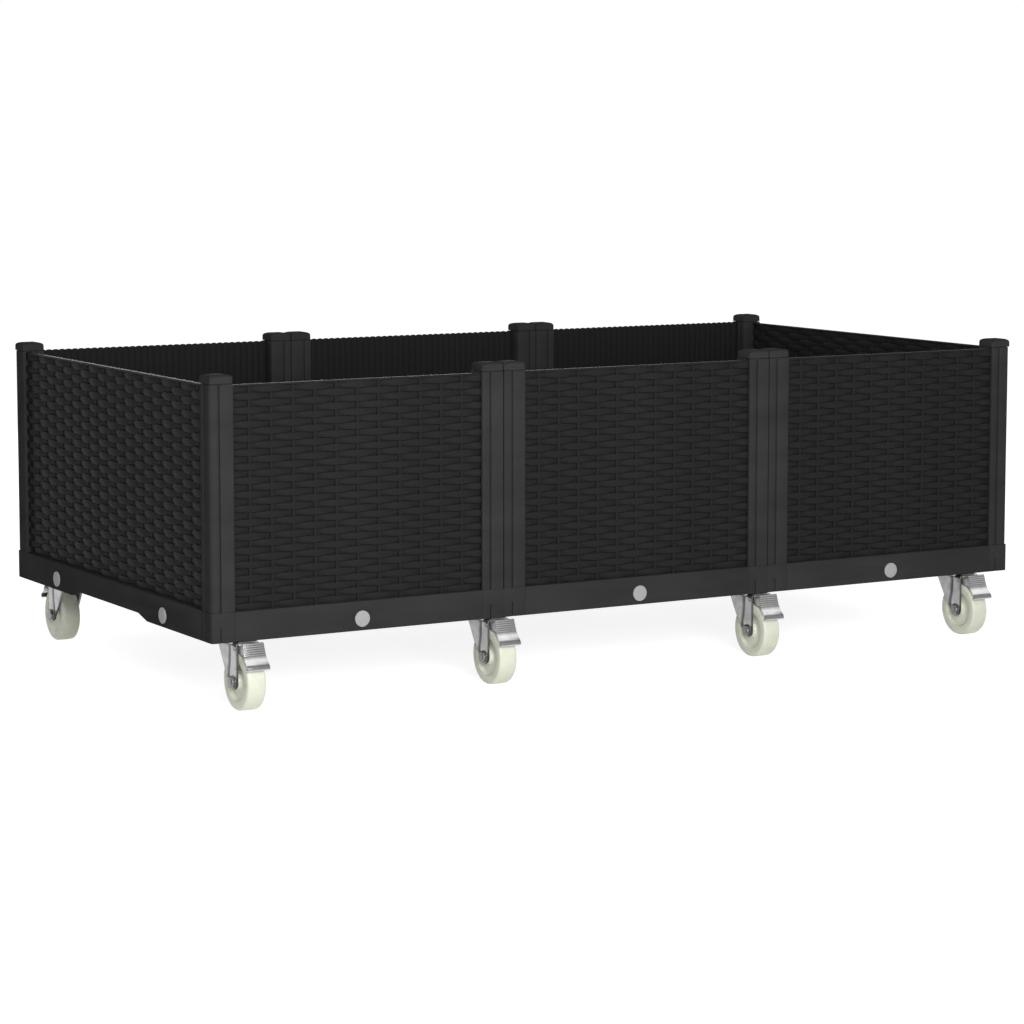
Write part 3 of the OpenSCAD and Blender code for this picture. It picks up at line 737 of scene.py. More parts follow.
@dataclass
class WeaveTree:
    """Geometry nodes for a woven panel: strands that pass stakes in turn.

    Attributes:
        stations: Points along a strand for each stake.
        section: Points round a strand.
        squareness: Powers that square off a strand's section, in depth and in height.
        weld: Distance in metres at which a strand's seam closes.
    """

    stations: int = 8
    section: int = 10
    squareness: Point = (0.8, 0.62)
    weld: float = 0.00002
    tree: FieldTree = field(init=False)

    def __post_init__(self) -> None:
        """Build the tree."""
        self.tree = FieldTree("weave")
        sizes = {
            "length": 0.35, "pitch": 0.0289, "first": 0.0, "swing": 0.002,
            "thickness": 0.0024, "tall": 0.0043, "short": 0.0034, "row": 0.00845,
            "top": 0.269, "stake width": 0.0040, "stake depth": 0.0036,
            "points": 97, "half rows": 16, "stakes": 13,
        }
        given = {name: self.tree.size(name, value) for name, value in sizes.items()}
        parts = [self._strands(parity, given) for parity in (0, 1)]
        self.tree.close([*parts, self._stakes(given)], WOVEN.material())

    def _strands(self, parity: int, given: dict[str, Socket]) -> Socket:
        """Build every second row of strands.

        Args:
            parity: 0 for the rows that start at the top, 1 for those between.
            given: The tree's named sizes.

        Returns:
            The instances of the strand.
        """
        t = self.tree
        grid = t.node("GeometryNodeMeshGrid", Size_X=1.0, Size_Y=1.0,
                      Vertices_X=given["points"], Vertices_Y=self.section + 1)
        at = t.node("ShaderNodeSeparateXYZ",
                    Vector=t.node("GeometryNodeInputPosition").outputs[0])
        along = t.times(t.plus(at.outputs[0], 0.5), given["length"])
        around = t.plus(at.outputs[1], 0.5)
        # The strand's path is a wave with steepened crossings, tall where it is in front
        phase = t.math("DIVIDE", t.minus(along, given["first"]), given["pitch"])
        wave = t.math("COSINE", t.times(t.plus(phase, float(parity)), math.pi))
        path = t.math("DIVIDE", t.times(wave, math.sqrt(2.0)),
                      t.math("SQRT", t.plus(t.times(wave, wave), 1.0)))
        crest = t.times(t.plus(wave, 1.0), 0.5)
        half = t.plus(given["short"],
                      t.times(crest, t.minus(given["tall"], given["short"])))
        # Its section is a rounded rectangle
        turn = t.times(around, 2 * math.pi)
        squared = []
        for name, power in zip(("COSINE", "SINE"), self.squareness):
            plain = t.math(name, turn)
            squared.append(t.times(t.math("SIGN", plain),
                                   t.math("POWER", t.math("ABSOLUTE", plain), power)))
        depth = t.minus(t.times(squared[0], t.times(given["thickness"], 0.5)),
                        t.times(path, given["swing"]))
        moved = t.node("GeometryNodeSetPosition", Geometry=grid.outputs["Mesh"],
                       Position=t.vector(along, depth, t.times(squared[1], half)))
        mapped = t.node("GeometryNodeStoreNamedAttribute",
                        {"data_type": "FLOAT2", "domain": "CORNER"},
                        Geometry=moved.outputs[0], Name="UVMap")
        t.put(t.vector(along, around),
              next(s for s in mapped.inputs if s.name == "Value" and s.enabled))
        welded = t.node("GeometryNodeMergeByDistance", Geometry=mapped.outputs[0],
                        Distance=self.weld)
        start = t.minus(given["top"], t.times(given["row"], parity + 0.5))
        return t.row_of(welded.outputs[0], given["half rows"], t.vector(z=start),
                        t.vector(z=t.times(given["row"], -2.0)))

    def _stakes(self, given: dict[str, Socket]) -> Socket:
        """Build the row of upright stakes from the tree's named sizes."""
        t = self.tree
        shaped = t.node("GeometryNodeTransform", Geometry=t.rod(12),
                        Scale=t.vector(given["stake width"], given["stake depth"],
                                       given["top"]))
        return t.row_of(shaped.outputs[0], given["stakes"],
                        t.vector(given["first"], z=t.times(given["top"], 0.5)),
                        t.vector(given["pitch"]))


@dataclass
class RibTree:
    """Geometry nodes for the round-topped upright ribs on a panel's inner face.

    Attributes:
        sides: Faces round a rib.
        rings: Rings of a rib's round top.
    """

    sides: int = 14
    rings: int = 8
    tree: FieldTree = field(init=False)

    def __post_init__(self) -> None:
        """Build the tree."""
        t = self.tree = FieldTree("ribs")
        sizes = {"pitch": 0.0094, "depth": 0.002, "height": 0.27, "crown": 0.002,
                 "start": 0.0, "count": 36}
        pitch, depth, height, crown, start, count = (
            t.size(name, value) for name, value in sizes.items())
        shaft = t.node("GeometryNodeTransform", Geometry=t.rod(self.sides),
                       Translation=t.vector(z=t.times(height, 0.5)),
                       Scale=t.vector(pitch, depth, height))
        ball = t.node("GeometryNodeMeshUVSphere", Segments=self.sides, Rings=self.rings,
                      Radius=0.5)
        cap = t.node("GeometryNodeTransform", Geometry=ball.outputs["Mesh"],
                     Translation=t.vector(z=height), Scale=t.vector(pitch, depth, crown))
        rib = t.joined([shaft.outputs[0], cap.outputs[0]])
        t.close([t.row_of(rib, count, t.vector(start), t.vector(pitch))],
                WOVEN.material())


# ---- The bed --------------------------------------------------------------------------


@dataclass
class Bed:
    """Sizes that the whole bed shares, in metres."""

    bay: float = 0.400
    depth: float = 0.630
    ledge: float = 0.124
    panel_top: float = 0.395
    post: float = 0.030
    post_inset: float = 0.0007
    post_top: float = 0.3962

    def on_side(self, side: Side, along: float = 0.0) -> Matrix:
        """Place a piece drawn at a front left corner on one side of the bed.

        Args:
            side: The side that it faces.
            along: Where the piece's own left end lies along that side.

        Returns:
            The matrix from the piece's frame, with its outer face at y = 0.
        """
        wide, deep = 3 * self.bay, self.depth
        if side in (Side.LEFT, Side.RIGHT):
            wide, deep = deep, wide
        return (Matrix.Rotation(math.radians(side.value), 4, "Z")
                @ Matrix.Translation((along - wide / 2, -deep / 2, 0.0)))


@dataclass
class SubAssembly(ABC):
    """A group of pieces that are built together.

    Attributes:
        bed: The bed's shared sizes.
    """

    bed: Bed

    @abstractmethod
    def build(self) -> None:
        """Build and dress every piece of the group."""


@dataclass
class Mouldings(SubAssembly):
    """Trays, posts, caps, bosses and drain plugs: the plain moulded pieces.

    Attributes:
        cap_gap: Gap between a post's top and its cap's band.
        cap_band: Height of the band.
        cap_dome: Rise of the cap's top over the band.
        cap_corner: Radius of the cap's upright corners.
        cap_neck: Set-back of the neck under the band.
        cap_edge: Chamfer of the band's lower edge.
        cap_rings: Shares of the width at which the rings of the top lie.
        cap_square: Power that squares off the top.
    """

    cap_gap: float = 0.0007
    cap_band: float = 0.0056
    cap_dome: float = 0.0055
    cap_corner: float = 0.0015
    cap_neck: float = 0.0025
    cap_edge: float = 0.0004
    cap_rings: tuple[float, ...] = (0.988, 0.965, 0.93, 0.88, 0.81, 0.71, 0.58, 0.42, 0.22)
    cap_square: int = 3

    def build(self) -> None:
        """Build each moulding, most of them as a rounded copy of its solid."""
        for bay in Bay:
            self._moulding(f"tray_{bay.word}", 0.0007, CHARCOAL)
        for node in ("corner_posts", "joint_posts"):
            self._moulding(node, 0.0006, CHARCOAL)
        self._caps()
        self._moulding("caster_bosses", 0.0012, BLACK)
        for node in sorted(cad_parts):
            if node.startswith("plug_"):
                self._moulding(node, 0.0006, PLUG_PLASTIC, 3, node)

    def _moulding(self, node: str, edge: float, finish: Finish, steps: int = 2,
                  body: str = "planter") -> None:
        """Build one moulding.

        Args:
            node: Node of the frame.
            edge: Rounding of its edges in metres.
            finish: Its finish.
            steps: Segments of the rounding.
            body: Body that it rides on.
        """
        Bench.piece(f"{node}_moulded", Bench.softened(node, edge, steps), finish, node,
                    body)

    def _square(self, half: float, steps: int = 6
                ) -> list[tuple[float, float, float, float]]:
        """Go round a square with rounded corners.

        Args:
            half: Half its width.
            steps: Segments of a quarter of the way round.

        Returns:
            Each point's place, and where it lies on the sharp square as shares of half.
        """
        line = []
        flat = half - self.cap_corner
        for k in range(4):
            spin = Matrix.Rotation(math.pi / 2 * k, 2)
            for j in range(1, steps + 1):
                share = -1.0 + (2.0 * j - 1) / steps
                line.append((*(spin @ Vector((half, share * flat))),
                             *(spin @ Vector((1.0, share)))))
            for j in range(steps - 1):
                share = (j + 0.5) / (steps - 1)
                turn = math.pi / 2 * share
                at = (Vector((flat, flat))
                      + self.cap_corner * Vector((math.cos(turn), math.sin(turn))))
                sharp = Vector((min(1.0, 2 - 2 * share), min(1.0, 2 * share)))
                line.append((*(spin @ at), *(spin @ sharp)))
        return line

    def _cap(self) -> bpy.types.Mesh:
        """Make one post cap: a neck, an upright band and a top like a pillow's.

        Returns:
            The mesh about its post's axis, standing on the post.
        """
        half = self.bed.post / 2
        low, high = self.cap_gap, self.cap_gap + self.cap_band
        neck = half - self.cap_neck
        edge = self.cap_edge
        levels = [(neck, 0.0), (neck, low), (half - edge, low), (half, low + edge),
                  (half, high - 0.0003)]
        rings = [[(x, y, z) for x, y, *_ in self._square(width)] for width, z in levels]
        power = self.cap_square
        for share in self.cap_rings:
            ring = []
            for x, y, *sharp in self._square(half):
                sides = math.prod(1 - abs(share * side) ** power for side in sharp)
                rise = self.cap_dome * max(0.0, sides) ** (1 / power)
                ring.append((x * share, y * share, high + rise))
            rings.append(ring)
        peak = (0.0, 0.0, high + self.cap_dome)
        return Bench.lofted([*rings, [peak]], ends=(0,))

    def _caps(self) -> None:
        """Set a cap on each of the twelve posts."""
        one = self._cap()
        inset = self.bed.post_inset + self.bed.post / 2
        caps = []
        for bay in Bay:
            for x in (-1, 1):
                for y in (-1, 1):
                    copy = one.copy()
                    copy.transform(Matrix.Translation((
                        bay.value * self.bed.bay + x * (self.bed.bay / 2 - inset),
                        y * (self.bed.depth / 2 - inset), self.bed.post_top)))
                    caps.append(copy)
        bpy.data.meshes.remove(one)
        Bench.piece("post_caps_moulded", Bench.joined(caps), CHARCOAL, "post_caps")


@dataclass
class WovenPanels(SubAssembly):
    """The eight woven panels.

    Attributes:
        inset: Set-back of the woven face from the skirt.
        thick: Thickness of a panel.
        start: Distance of a panel's end from the post's outer face.
        rows: Number of woven rows.
        rim: Height of the rim.
        stake: Pitch of the stakes.
        rib: Pitch of the upright ribs on the long sides' inner faces.
        lip: Set-back of a rim's faces from the panel's.
        overlap: How far a rim reaches down over the weave.
        back: Set-back of the sheet behind the ribs from the panel's inner face.
        LONG_WEAVE: Sizes of a long panel's strands and stakes.
        END_WEAVE: Sizes of an end panel's strands and stakes.
    """

    LONG_WEAVE = {"swing": 0.0023, "thickness": 0.0018, "stake_width": 0.0046,
                  "stake_depth": 0.0030}
    END_WEAVE = {"swing": 0.0017, "thickness": 0.0026, "tall": 0.0048, "short": 0.0048,
                 "stake_width": 0.0030, "stake_depth": 0.0020}

    inset: float = 0.005
    thick: float = 0.0085
    start: float = 0.0267
    rows: int = 32
    rim: float = 0.002
    stake: float = 0.0289
    rib: float = 0.00939
    lip: float = 0.0004
    overlap: float = 0.0006
    back: float = 0.0012
    weave: WeaveTree = field(default_factory=WeaveTree)
    ribs: RibTree = field(default_factory=RibTree)

    @property
    def height(self) -> float:
        """Height of a panel."""
        return self.bed.panel_top - self.bed.ledge

    def build(self) -> None:
        """Build the six panels of the long sides and the two of the ends."""
        for bay in Bay:
            left = (bay.value + 1) * self.bed.bay
            self._long_panel(f"front_panel_{bay.word}", Side.FRONT, left, 0.0)
            back = (1 - bay.value) * self.bed.bay
            self._long_panel(f"back_panel_{bay.word}", Side.BACK, back, 0.0016)
        self._end_panel("side_panel_left", Side.LEFT)
        self._end_panel("side_panel_right", Side.RIGHT)

    def _woven(self, span: float, anchor: float, middle: float,
               **sizes: float) -> bpy.types.Mesh:
        """Weave one panel.

        Args:
            span: Length of the side between the outer faces of its posts.
            anchor: Place of the stake that the pattern is counted from.
            middle: Depth of the stakes' plane behind the skirt.
            sizes: Sizes of the strands and stakes, by the tree's names.

        Returns:
            The strands and stakes, with the skirt's face at y = 0.
        """
        length = span - 2 * self.start
        steps = round(length / self.stake * self.weave.stations)
        before = math.floor((anchor - self.start) / self.stake)
        first = anchor - before * self.stake - self.start
        turned = before % 2
        mesh = self.weave.tree.run(
            length=length, pitch=self.stake, first=first - turned * self.stake,
            row=(self.height - self.rim) / self.rows, **sizes,
            top=self.height - self.rim, points=steps + 1, half_rows=self.rows // 2,
            stakes=math.floor((length - first) / self.stake) + 1 + turned)
        shape = bmesh.new()
        shape.from_mesh(mesh)
        bpy.data.meshes.remove(mesh)
        # The stake before the panel's end only counts the pattern
        outside = [v for v in shape.verts if v.co.x < -0.0001]
        bmesh.ops.delete(shape, geom=outside, context="VERTS")
        bmesh.ops.holes_fill(shape, edges=[e for e in shape.edges if e.is_boundary],
                             sides=0)
        bmesh.ops.translate(shape, verts=shape.verts,
                            vec=(self.start, middle, self.bed.ledge))
        return Bench.mesh_of(shape)

    def _bar(self, span: float, low: Point, high: Point,
             rounding: float) -> bpy.types.Mesh:
        """Make a rounded bar along a panel.

        Args:
            span: Length of the side.
            low: Depth and height of one edge of the bar's section.
            high: Depth and height of the opposite edge.
            rounding: Radius of its edges.

        Returns:
            The bar.
        """
        corners = [low, (high[0], low[1]), high, (low[0], high[1])]
        outline = Bench.filleted(corners, [rounding] * 4, 3, closed=True)
        return Bench.extruded(outline, self.start, span - self.start)

    def _finished(self, node: str, meshes: Sequence[bpy.types.Mesh],
                  place: Matrix) -> None:
        """Join a panel's meshes, set them in place and dress them."""
        mesh = Bench.joined(meshes)
        mesh.transform(place)
        Bench.piece(f"{node}_woven", mesh, WOVEN, node)

    def _long_panel(self, node: str, side: Side, along: float, crest: float) -> None:
        """Build a panel of a long side: a weave outside and upright ribs inside.

        Args:
            node: Node that it stands for.
            side: The side of the bed.
            along: Where its bay starts along that side.
            crest: How far its ribs stand above the rim.
        """
        span = self.bed.bay
        top = self.bed.panel_top
        face, inner = self.inset, self.inset + self.thick
        weave = self._woven(span, 0.373, face + 0.0032, **self.LONG_WEAVE)
        rim = self._bar(span, (face + self.lip, top - self.rim - self.overlap),
                        (inner - self.back, top), 0.0006)
        sheet = self._bar(span, (inner - self.back - 0.0010, self.bed.ledge),
                          (inner - self.back, top - self.lip), 0.0002)
        room = span - 2 * self.start
        count = math.floor(room / self.rib)
        ribs = self.ribs.tree.run(
            pitch=self.rib, depth=0.003, crown=0.0032, count=count,
            start=(room - (count - 1) * self.rib) / 2,
            height=self.height + crest - 0.0016)
        ribs.transform(Matrix.Translation((self.start, inner - 0.0015, self.bed.ledge)))
        self._finished(node, [weave, rim, sheet, ribs], self.bed.on_side(side, along))

    def _end_panel(self, node: str, side: Side) -> None:
        """Build a panel of an end: the same weave on both faces."""
        span = self.bed.depth
        top = self.bed.panel_top
        face, inner = self.inset, self.inset + self.thick
        weave = self._woven(span, 0.030, (face + inner) / 2, **self.END_WEAVE)
        rim = self._bar(span, (face + self.lip, top - self.rim - self.overlap),
                        (inner - self.lip, top), 0.0008)
        self._finished(node, [weave, rim], self.bed.on_side(side))


@dataclass
class Casters(SubAssembly):
    """The eight braked swivel casters, drawn about the swivel axis with the wheel at -Y.

    Attributes:
        wheel_r: Radius of the wheel.
        wheel_w: Width of its tread.
        hub: Length of its hub.
        trail: Distance of the axle from the swivel axis.
        leg_in: Distance of a leg's inner face from the middle.
        leg_out: Distance of its outer face.
        crown_low: Height of the race's underside.
        crown_high: Height of the fork's top.
        eye: Radius of a leg's lower end about the axle.
        inboard: Distance of the swivel axis from the skirt.
        ends: Places of the casters along the bed.
        pin: Place of the pedal's pin in side view.
        BACK_EDGE: A leg's back edge, as (height, place).
    """

    BACK_EDGE = ((0.02625, -0.0220), (0.0275, -0.0176), (0.0300, -0.0144),
                 (0.0340, -0.0115), (0.0390, -0.0076), (0.0440, -0.0032),
                 (0.0500, 0.0018), (0.0570, 0.0062), (0.0640, 0.0105), (0.0720, 0.0153),
                 (0.0775, 0.0187), (0.0796, 0.0200), (0.0900, 0.0200))
    wheel_r: float = 0.03575
    wheel_w: float = 0.0245
    hub: float = 0.0254
    trail: float = 0.022
    leg_in: float = 0.013
    leg_out: float = 0.0155
    crown_low: float = 0.081
    crown_high: float = 0.0846
    eye: float = 0.0095
    inboard: float = 0.046
    ends: tuple[float, ...] = (-0.5465, -0.200, 0.200, 0.5465)
    pin: Point = (-0.028, 0.0775)

    def build(self) -> None:
        """Build one of each piece and set copies of it on every caster."""
        kinds = {
            # Painted shade in the plate colour: fork and pedal by place, the bolts evenly
            # darker than the pedal's bright zinc
            "fork": (self._dulled(self.fork(), self._fork_dull), ZINC, "caster"),
            "bolts": (self._dulled(self.bolts(), lambda at: 0.80), BRIGHT_ZINC, "caster"),
            "wheel": (self.wheel(), WHEEL_NYLON, "wheel"),
            "pedal": (self._dulled(self.pedal(), self._pedal_dull), BRIGHT_ZINC, "pedal"),
        }
        away = self.bed.depth / 2 - self.inboard
        for kind, (mesh, finish, body) in kinds.items():
            for side, y in ((Side.FRONT, -away), (Side.BACK, away)):
                for i, along in enumerate(self.ends):
                    place = f"{side.name.lower()}_{i + 1}"
                    copy = mesh.copy()
                    copy.transform(Matrix.Translation((along, y, 0.0))
                                   @ Matrix.Rotation(math.radians(side.value), 4, "Z"))
                    Bench.piece(f"{kind}_{place}_made", copy, finish, f"{kind}_{place}",
                                f"{body}_{place}")
            bpy.data.meshes.remove(mesh)
        for node, edge in (("swivel_stems", 0.0004), ("stem_washers", 0.0003),
                           ("stem_nuts", 0.0008)):
            Bench.piece(f"{node}_made", Bench.softened(node, edge), BRIGHT_ZINC, node)

    def _leg_back(self, z: float) -> float:
        """Where a leg's back edge lies at a height."""
        for (low, start), (high, end) in zip(self.BACK_EDGE, self.BACK_EDGE[1:]):
            if z <= high:
                return start + (end - start) * max(0.0, z - low) / (high - low)
        return self.BACK_EDGE[-1][1]

    def _leg_front(self, z: float) -> float:
        """Where a leg's front edge lies at a height."""
        drop = max(0.0, (self.wheel_r - z) / self.eye)
        return -self.trail - self.eye * math.sqrt(max(0.0, 1 - drop * drop))

    def fork(self) -> bpy.types.Mesh:
        """Make the pressed fork with its bent shoulders, embossed legs and race.

        Returns:
            The mesh, about the swivel axis.
        """
        bend = 0.0045
        low = self.wheel_r - self.eye + 0.0001
        top, out = self.crown_high, self.leg_out
        leg, shoulder, slices = 26, 6, 24
        path = [(-out, low + (top - bend - low) * (k / leg)) for k in range(leg + 1)]
        for k in range(1, shoulder + 1):
            turn = math.pi / 2 * k / shoulder
            path.append((-out + bend * (1 - math.cos(turn)),
                         top - bend + bend * math.sin(turn)))
        path += [(-out + bend + (out - bend) * k / 4, top) for k in range(1, 4)]
        path += [(0.0, top)] + [(-x, z) for x, z in reversed(path)]
        rows = []
        for x, z in path:
            front, back = self._leg_front(z), self._leg_back(z)
            shares = [k / slices for k in range(slices + 1)]
            rows.append([(x + self._emboss(x, z, t), front + (back - front) * t, z)
                         for t in shares])
        shape = bmesh.new()
        Bench.skin(shape, rows, closed=False)
        bmesh.ops.recalc_face_normals(shape, faces=shape.faces)
        crown = [f for f in shape.faces if abs(f.calc_center_median().x) < 0.002]
        if sum(f.normal.z for f in crown) < 0:
            bmesh.ops.reverse_faces(shape, faces=shape.faces)
        sheet = bpy.data.meshes.new("sheet")
        shape.to_mesh(sheet)
        shape.free()

        def setup(holder: bpy.types.Object) -> None:
            """Give the sheet its thickness and round its edges."""
            wall = holder.modifiers.new("wall", "SOLIDIFY")
            wall.thickness = self.leg_out - self.leg_in
            wall.offset = -1.0
            Bench.bevel(holder, 0.0006, angle=50.0)

        legs = Bench.evaluated(sheet, setup)
        race = Bench.lathed(Bench.filleted(
            [(0.0051, 0.0), (0.0250, 0.0), (0.0250, 0.0036), (0.0205, 0.0036),
             (0.0205, 0.0032), (0.0051, 0.0032)],
            [0.0, 0.0012, 0.0012, 0.0002, 0.0002, 0.0], 4, closed=True), ring=True)
        race.transform(Matrix.Translation((0, 0, self.crown_low))
                       @ Matrix.Rotation(-math.pi / 2, 4, "Y"))
        return Bench.joined([legs, race])

    def _emboss(self, x: float, z: float, t: float) -> float:
        """How far a leg's pressed rib stands out.

        Args:
            x: Place across the fork, whose sign gives the leg.
            z: Height.
            t: Share of the way from the leg's front edge to its back edge.

        Returns:
            The outward move along X.
        """
        on_leg = abs(x) >= self.leg_out - 0.0001
        if not on_leg:
            return 0.0
        height = 0.0013
        sides = min(ramp(t, 0.03, 0.11), ramp(t, 0.97, 0.87))
        smooth = eased(sides) * eased(ramp(z, 0.0400, 0.0460))
        return math.copysign(height * smooth * (1 - self._valley(z, t)), x)

    @staticmethod
    def _valley(z: float, t: float) -> float:
        """How deep a leg's pressed groove is.

        Args:
            z: Height.
            t: Share of the way from the leg's front edge to its back edge.

        Returns:
            The depth from 0 to 1. The groove slants back as it comes down.
        """
        top, length = 0.0790, 0.0390
        fall = max(0.0, (top - z) / length)
        middle = 0.33 + 0.16 * fall + 0.36 * fall ** 3
        half_width = 0.10 + 0.08 * fall
        away = abs(t - middle) / half_width
        return max(0.0, 1 - away * away) ** 1.5

    def _fork_dull(self, at: Vector) -> float:
        """How much shade is painted on the fork's plate at a place: along its pressed
        groove, at its front and back edges, towards its foot and evenly on its crown.
        """
        front, back = self._leg_front(at.z), self._leg_back(at.z)
        crown = abs(at.x) < self.leg_in - 0.0005
        if crown or back <= front:
            return 0.35
        t = (at.y - front) / (back - front)
        # Painted shade at the front and back edges, darker towards the foot and along the
        # groove
        edge = max(0.0, 1 - t / 0.07, 1 - (1 - t) / 0.08)
        foot_shade = ramp(at.z, 0.0460, 0.0360)
        return min(1.0, 0.22 + 0.50 * self._valley(at.z, t) + 0.35 * edge + 0.30 * foot_shade)

    def _pedal_dull(self, at: Vector) -> float:
        """How much shade is painted on the pedal's plate at a place: painted shade on the
        flanges, the ribs and the lip, with painted stripes across the ribs and a painted
        highlight on the sloped band.
        """
        flanges_end, ribs_foot, slope_foot, lip_foot = -0.0452, 0.0690, 0.0605, 0.0552
        rib_pitch = 0.0026
        # Painted shade: flanges and ribs darker with painted light and dark stripes across
        # the ribs, the sloped band left bright as a painted highlight, the lip below it
        # painted dark
        if at.y > flanges_end:
            return 0.65
        if at.z > ribs_foot:
            return 0.68 + 0.08 * math.sin(2 * math.pi * (at.z - ribs_foot) / rib_pitch)
        return 0.0 if at.z > slope_foot else 0.98 if at.z > lip_foot else 0.5

    @staticmethod
    def _dulled(mesh: bpy.types.Mesh, rule: Callable[[Vector], float]) -> bpy.types.Mesh:
        """Store how much shade is painted on a plate at each of its points.

        Args:
            mesh: The mesh to mark.
            rule: Gives the share for a place.

        Returns:
            The same mesh, with the attribute that the plate's finish reads.
        """
        shares = [rule(vertex.co) for vertex in mesh.vertices]
        # The attribute holds painted shade that the zinc finish reads
        mesh.attributes.new("dull", "FLOAT", "POINT").data.foreach_set("value", shares)
        return mesh

    def wheel(self) -> bpy.types.Mesh:
        """Make the wheel with its rounded shoulders, dished sides and hub.

        Returns:
            The mesh, about the swivel axis.
        """
        r, w, h = self.wheel_r, self.wheel_w / 2, self.hub / 2
        half = [(0.0041, -h), (0.0098, -h), (0.0104, -0.0082), (0.0218, -0.0076),
                (0.0243, -w + 0.0002), (0.0275, -w), (r - 0.0003, -w), (r, 0.0)]
        radii = [0.0003, 0.0006, 0.0022, 0.0026, 0.0014, 0.0, 0.0062, 0.0]
        outline = half + [(a, -b) for a, b in reversed(half[:-1])]
        line = Bench.filleted(outline, radii + radii[:-1][::-1], 7, closed=True)
        mesh = Bench.lathed(line, ring=True, turns=96)
        mesh.transform(Matrix.Translation((0, -self.trail, r)))
        return mesh

    @staticmethod
    def _hexagon(flats: float, start: float, end: float) -> bpy.types.Mesh:
        """Make a chamfered hexagon along X.

        Args:
            flats: Width across the flats.
            start: Its seat along X.
            end: Its outer face along X.

        Returns:
            The closed mesh on the axle's axis.
        """
        sixth = math.pi / 3
        flat = flats / 2
        corner = flat / math.cos(sixth / 2)
        step = math.copysign(1.0, end - start)
        turns = 48
        rows = []
        for x, limit in ((start, flat * 1.02), (start + step * 0.0005, corner),
                         (end - step * 0.0011, corner), (end, flat * 0.94)):
            row = []
            for k in range(turns):
                a = 2 * math.pi * k / turns
                radius = min(limit,
                             flat / math.cos((a + sixth / 2) % sixth - sixth / 2))
                row.append((x, radius * math.sin(a), radius * math.cos(a)))
            rows.append(row)
        return Bench.lofted(rows)

    def bolts(self) -> bpy.types.Mesh:
        """Make the axle bolt with its head, washers and nut, and the pedal's pin.

        Returns:
            The mesh, about the swivel axis.
        """
        out = self.leg_out
        end = out + 0.0046
        thread = [(0.0, -end)] + [
            (0.0040 - 0.0004 * (k % 2), -end + 0.0002 + 0.0004 * k) for k in range(8)]
        shank = thread + [(0.0040, -end + 0.0040), (0.0040, out), (0.0, out)]
        parts = [Bench.lathed(shank, turns=32),
                 self._hexagon(0.013, out, out + 0.0040),
                 self._hexagon(0.013, -out, -out - 0.0040)]
        for start, step in ((out, 1), (-out, -1)):
            ring = [(0.0041, start), (0.0079, start), (0.0079, start + step * 0.0009),
                    (0.0041, start + step * 0.0009)]
            parts.append(Bench.lathed(Bench.filleted(ring, [0, 0.0004, 0.0004, 0], 3,
                                                     closed=True), ring=True, turns=40))
        axle = Bench.joined(parts)
        axle.transform(Matrix.Translation((0, -self.trail, self.wheel_r)))
        head = out + 0.0014
        pin = Bench.lathed(Bench.filleted(
            [(0.0, -head), (0.0035, -head), (0.0035, -out), (0.0020, -out), (0.0020, out),
             (0.0035, out), (0.0035, head), (0.0, head)],
            [0, 0.0009, 0, 0, 0, 0, 0.0009, 0], 4), turns=28)
        pin.transform(Matrix.Translation((0, *self.pin)))
        return Bench.joined([axle, pin])

    def pedal(self) -> bpy.types.Mesh:
        """Make the brake pedal: a ribbed plate with a rolled lip, two flanges and a shoe.

        Returns:
            The mesh, about the swivel axis.
        """
        y, z = self.pin
        bends = [(-0.0460, 0.0850), (-0.0504, 0.0700), (-0.0572, 0.0622),
                 (-0.0618, 0.0580), (-0.0622, 0.0545), (-0.0600, 0.0540),
                 (-0.0590, 0.0560)]
        path = Bench.filleted(bends, [0, 0.0022, 0.0018, 0.0016, 0.0012, 0.0010, 0], 5)
        plate = self._bent(self._ribbed(path), 0.0015)
        parts = [Bench.bevelled(plate, 0.0004)]
        shoe_low = [(y - 0.0135, z - 0.0073), (y - 0.009, z - 0.0073)]
        side = [(y, z + 0.0032), (y - 0.0038, z + 0.0032), (-0.0455, 0.0845),
                (-0.0498, 0.0702), *shoe_low, (y, z - 0.0032),
                (y + 0.0028, z - 0.0018), (y + 0.0028, z + 0.0018)]
        round_side = Bench.filleted(side, [0.001, 0.002, 0.001, 0.001, 0.001, 0.002,
                                           0.002, 0.0024, 0.0024], 4, closed=True)
        shoe = [*shoe_low, (y - 0.009, z - 0.0057), (y - 0.0135, z - 0.0057)]
        for outline, low, high in ((round_side, -0.0124, -0.0109),
                                   (round_side, 0.0109, 0.0124),
                                   (shoe, -0.0120, 0.0120)):
            parts.append(Bench.bevelled(Bench.extruded(outline, low, high), 0.0003))
        return Bench.joined(parts)

    @staticmethod
    def _ribbed(path: list[Point], ribs: int = 6, height: float = 0.0003
                ) -> list[Point]:
        """Press ribs across the upper part of the pedal's line.

        Args:
            path: The pedal's line from its upper edge.
            ribs: Number of ribs.
            height: Height of a rib.

        Returns:
            The line with the ribs added.
        """
        start, end = Vector(path[0]), Vector(path[1])
        way = (end - start).normalized()
        outward = Vector((way.y, -way.x))
        length = (end - start).length
        line: list[Point] = [path[0]]
        steps = 12 * ribs
        for k in range(1, steps):
            s = k / steps
            wave = max(0.0, math.sin(2 * math.pi * (s * ribs - 0.25)))
            line.append(tuple(start + way * length * s + outward * height * wave))
        return line + path[1:]

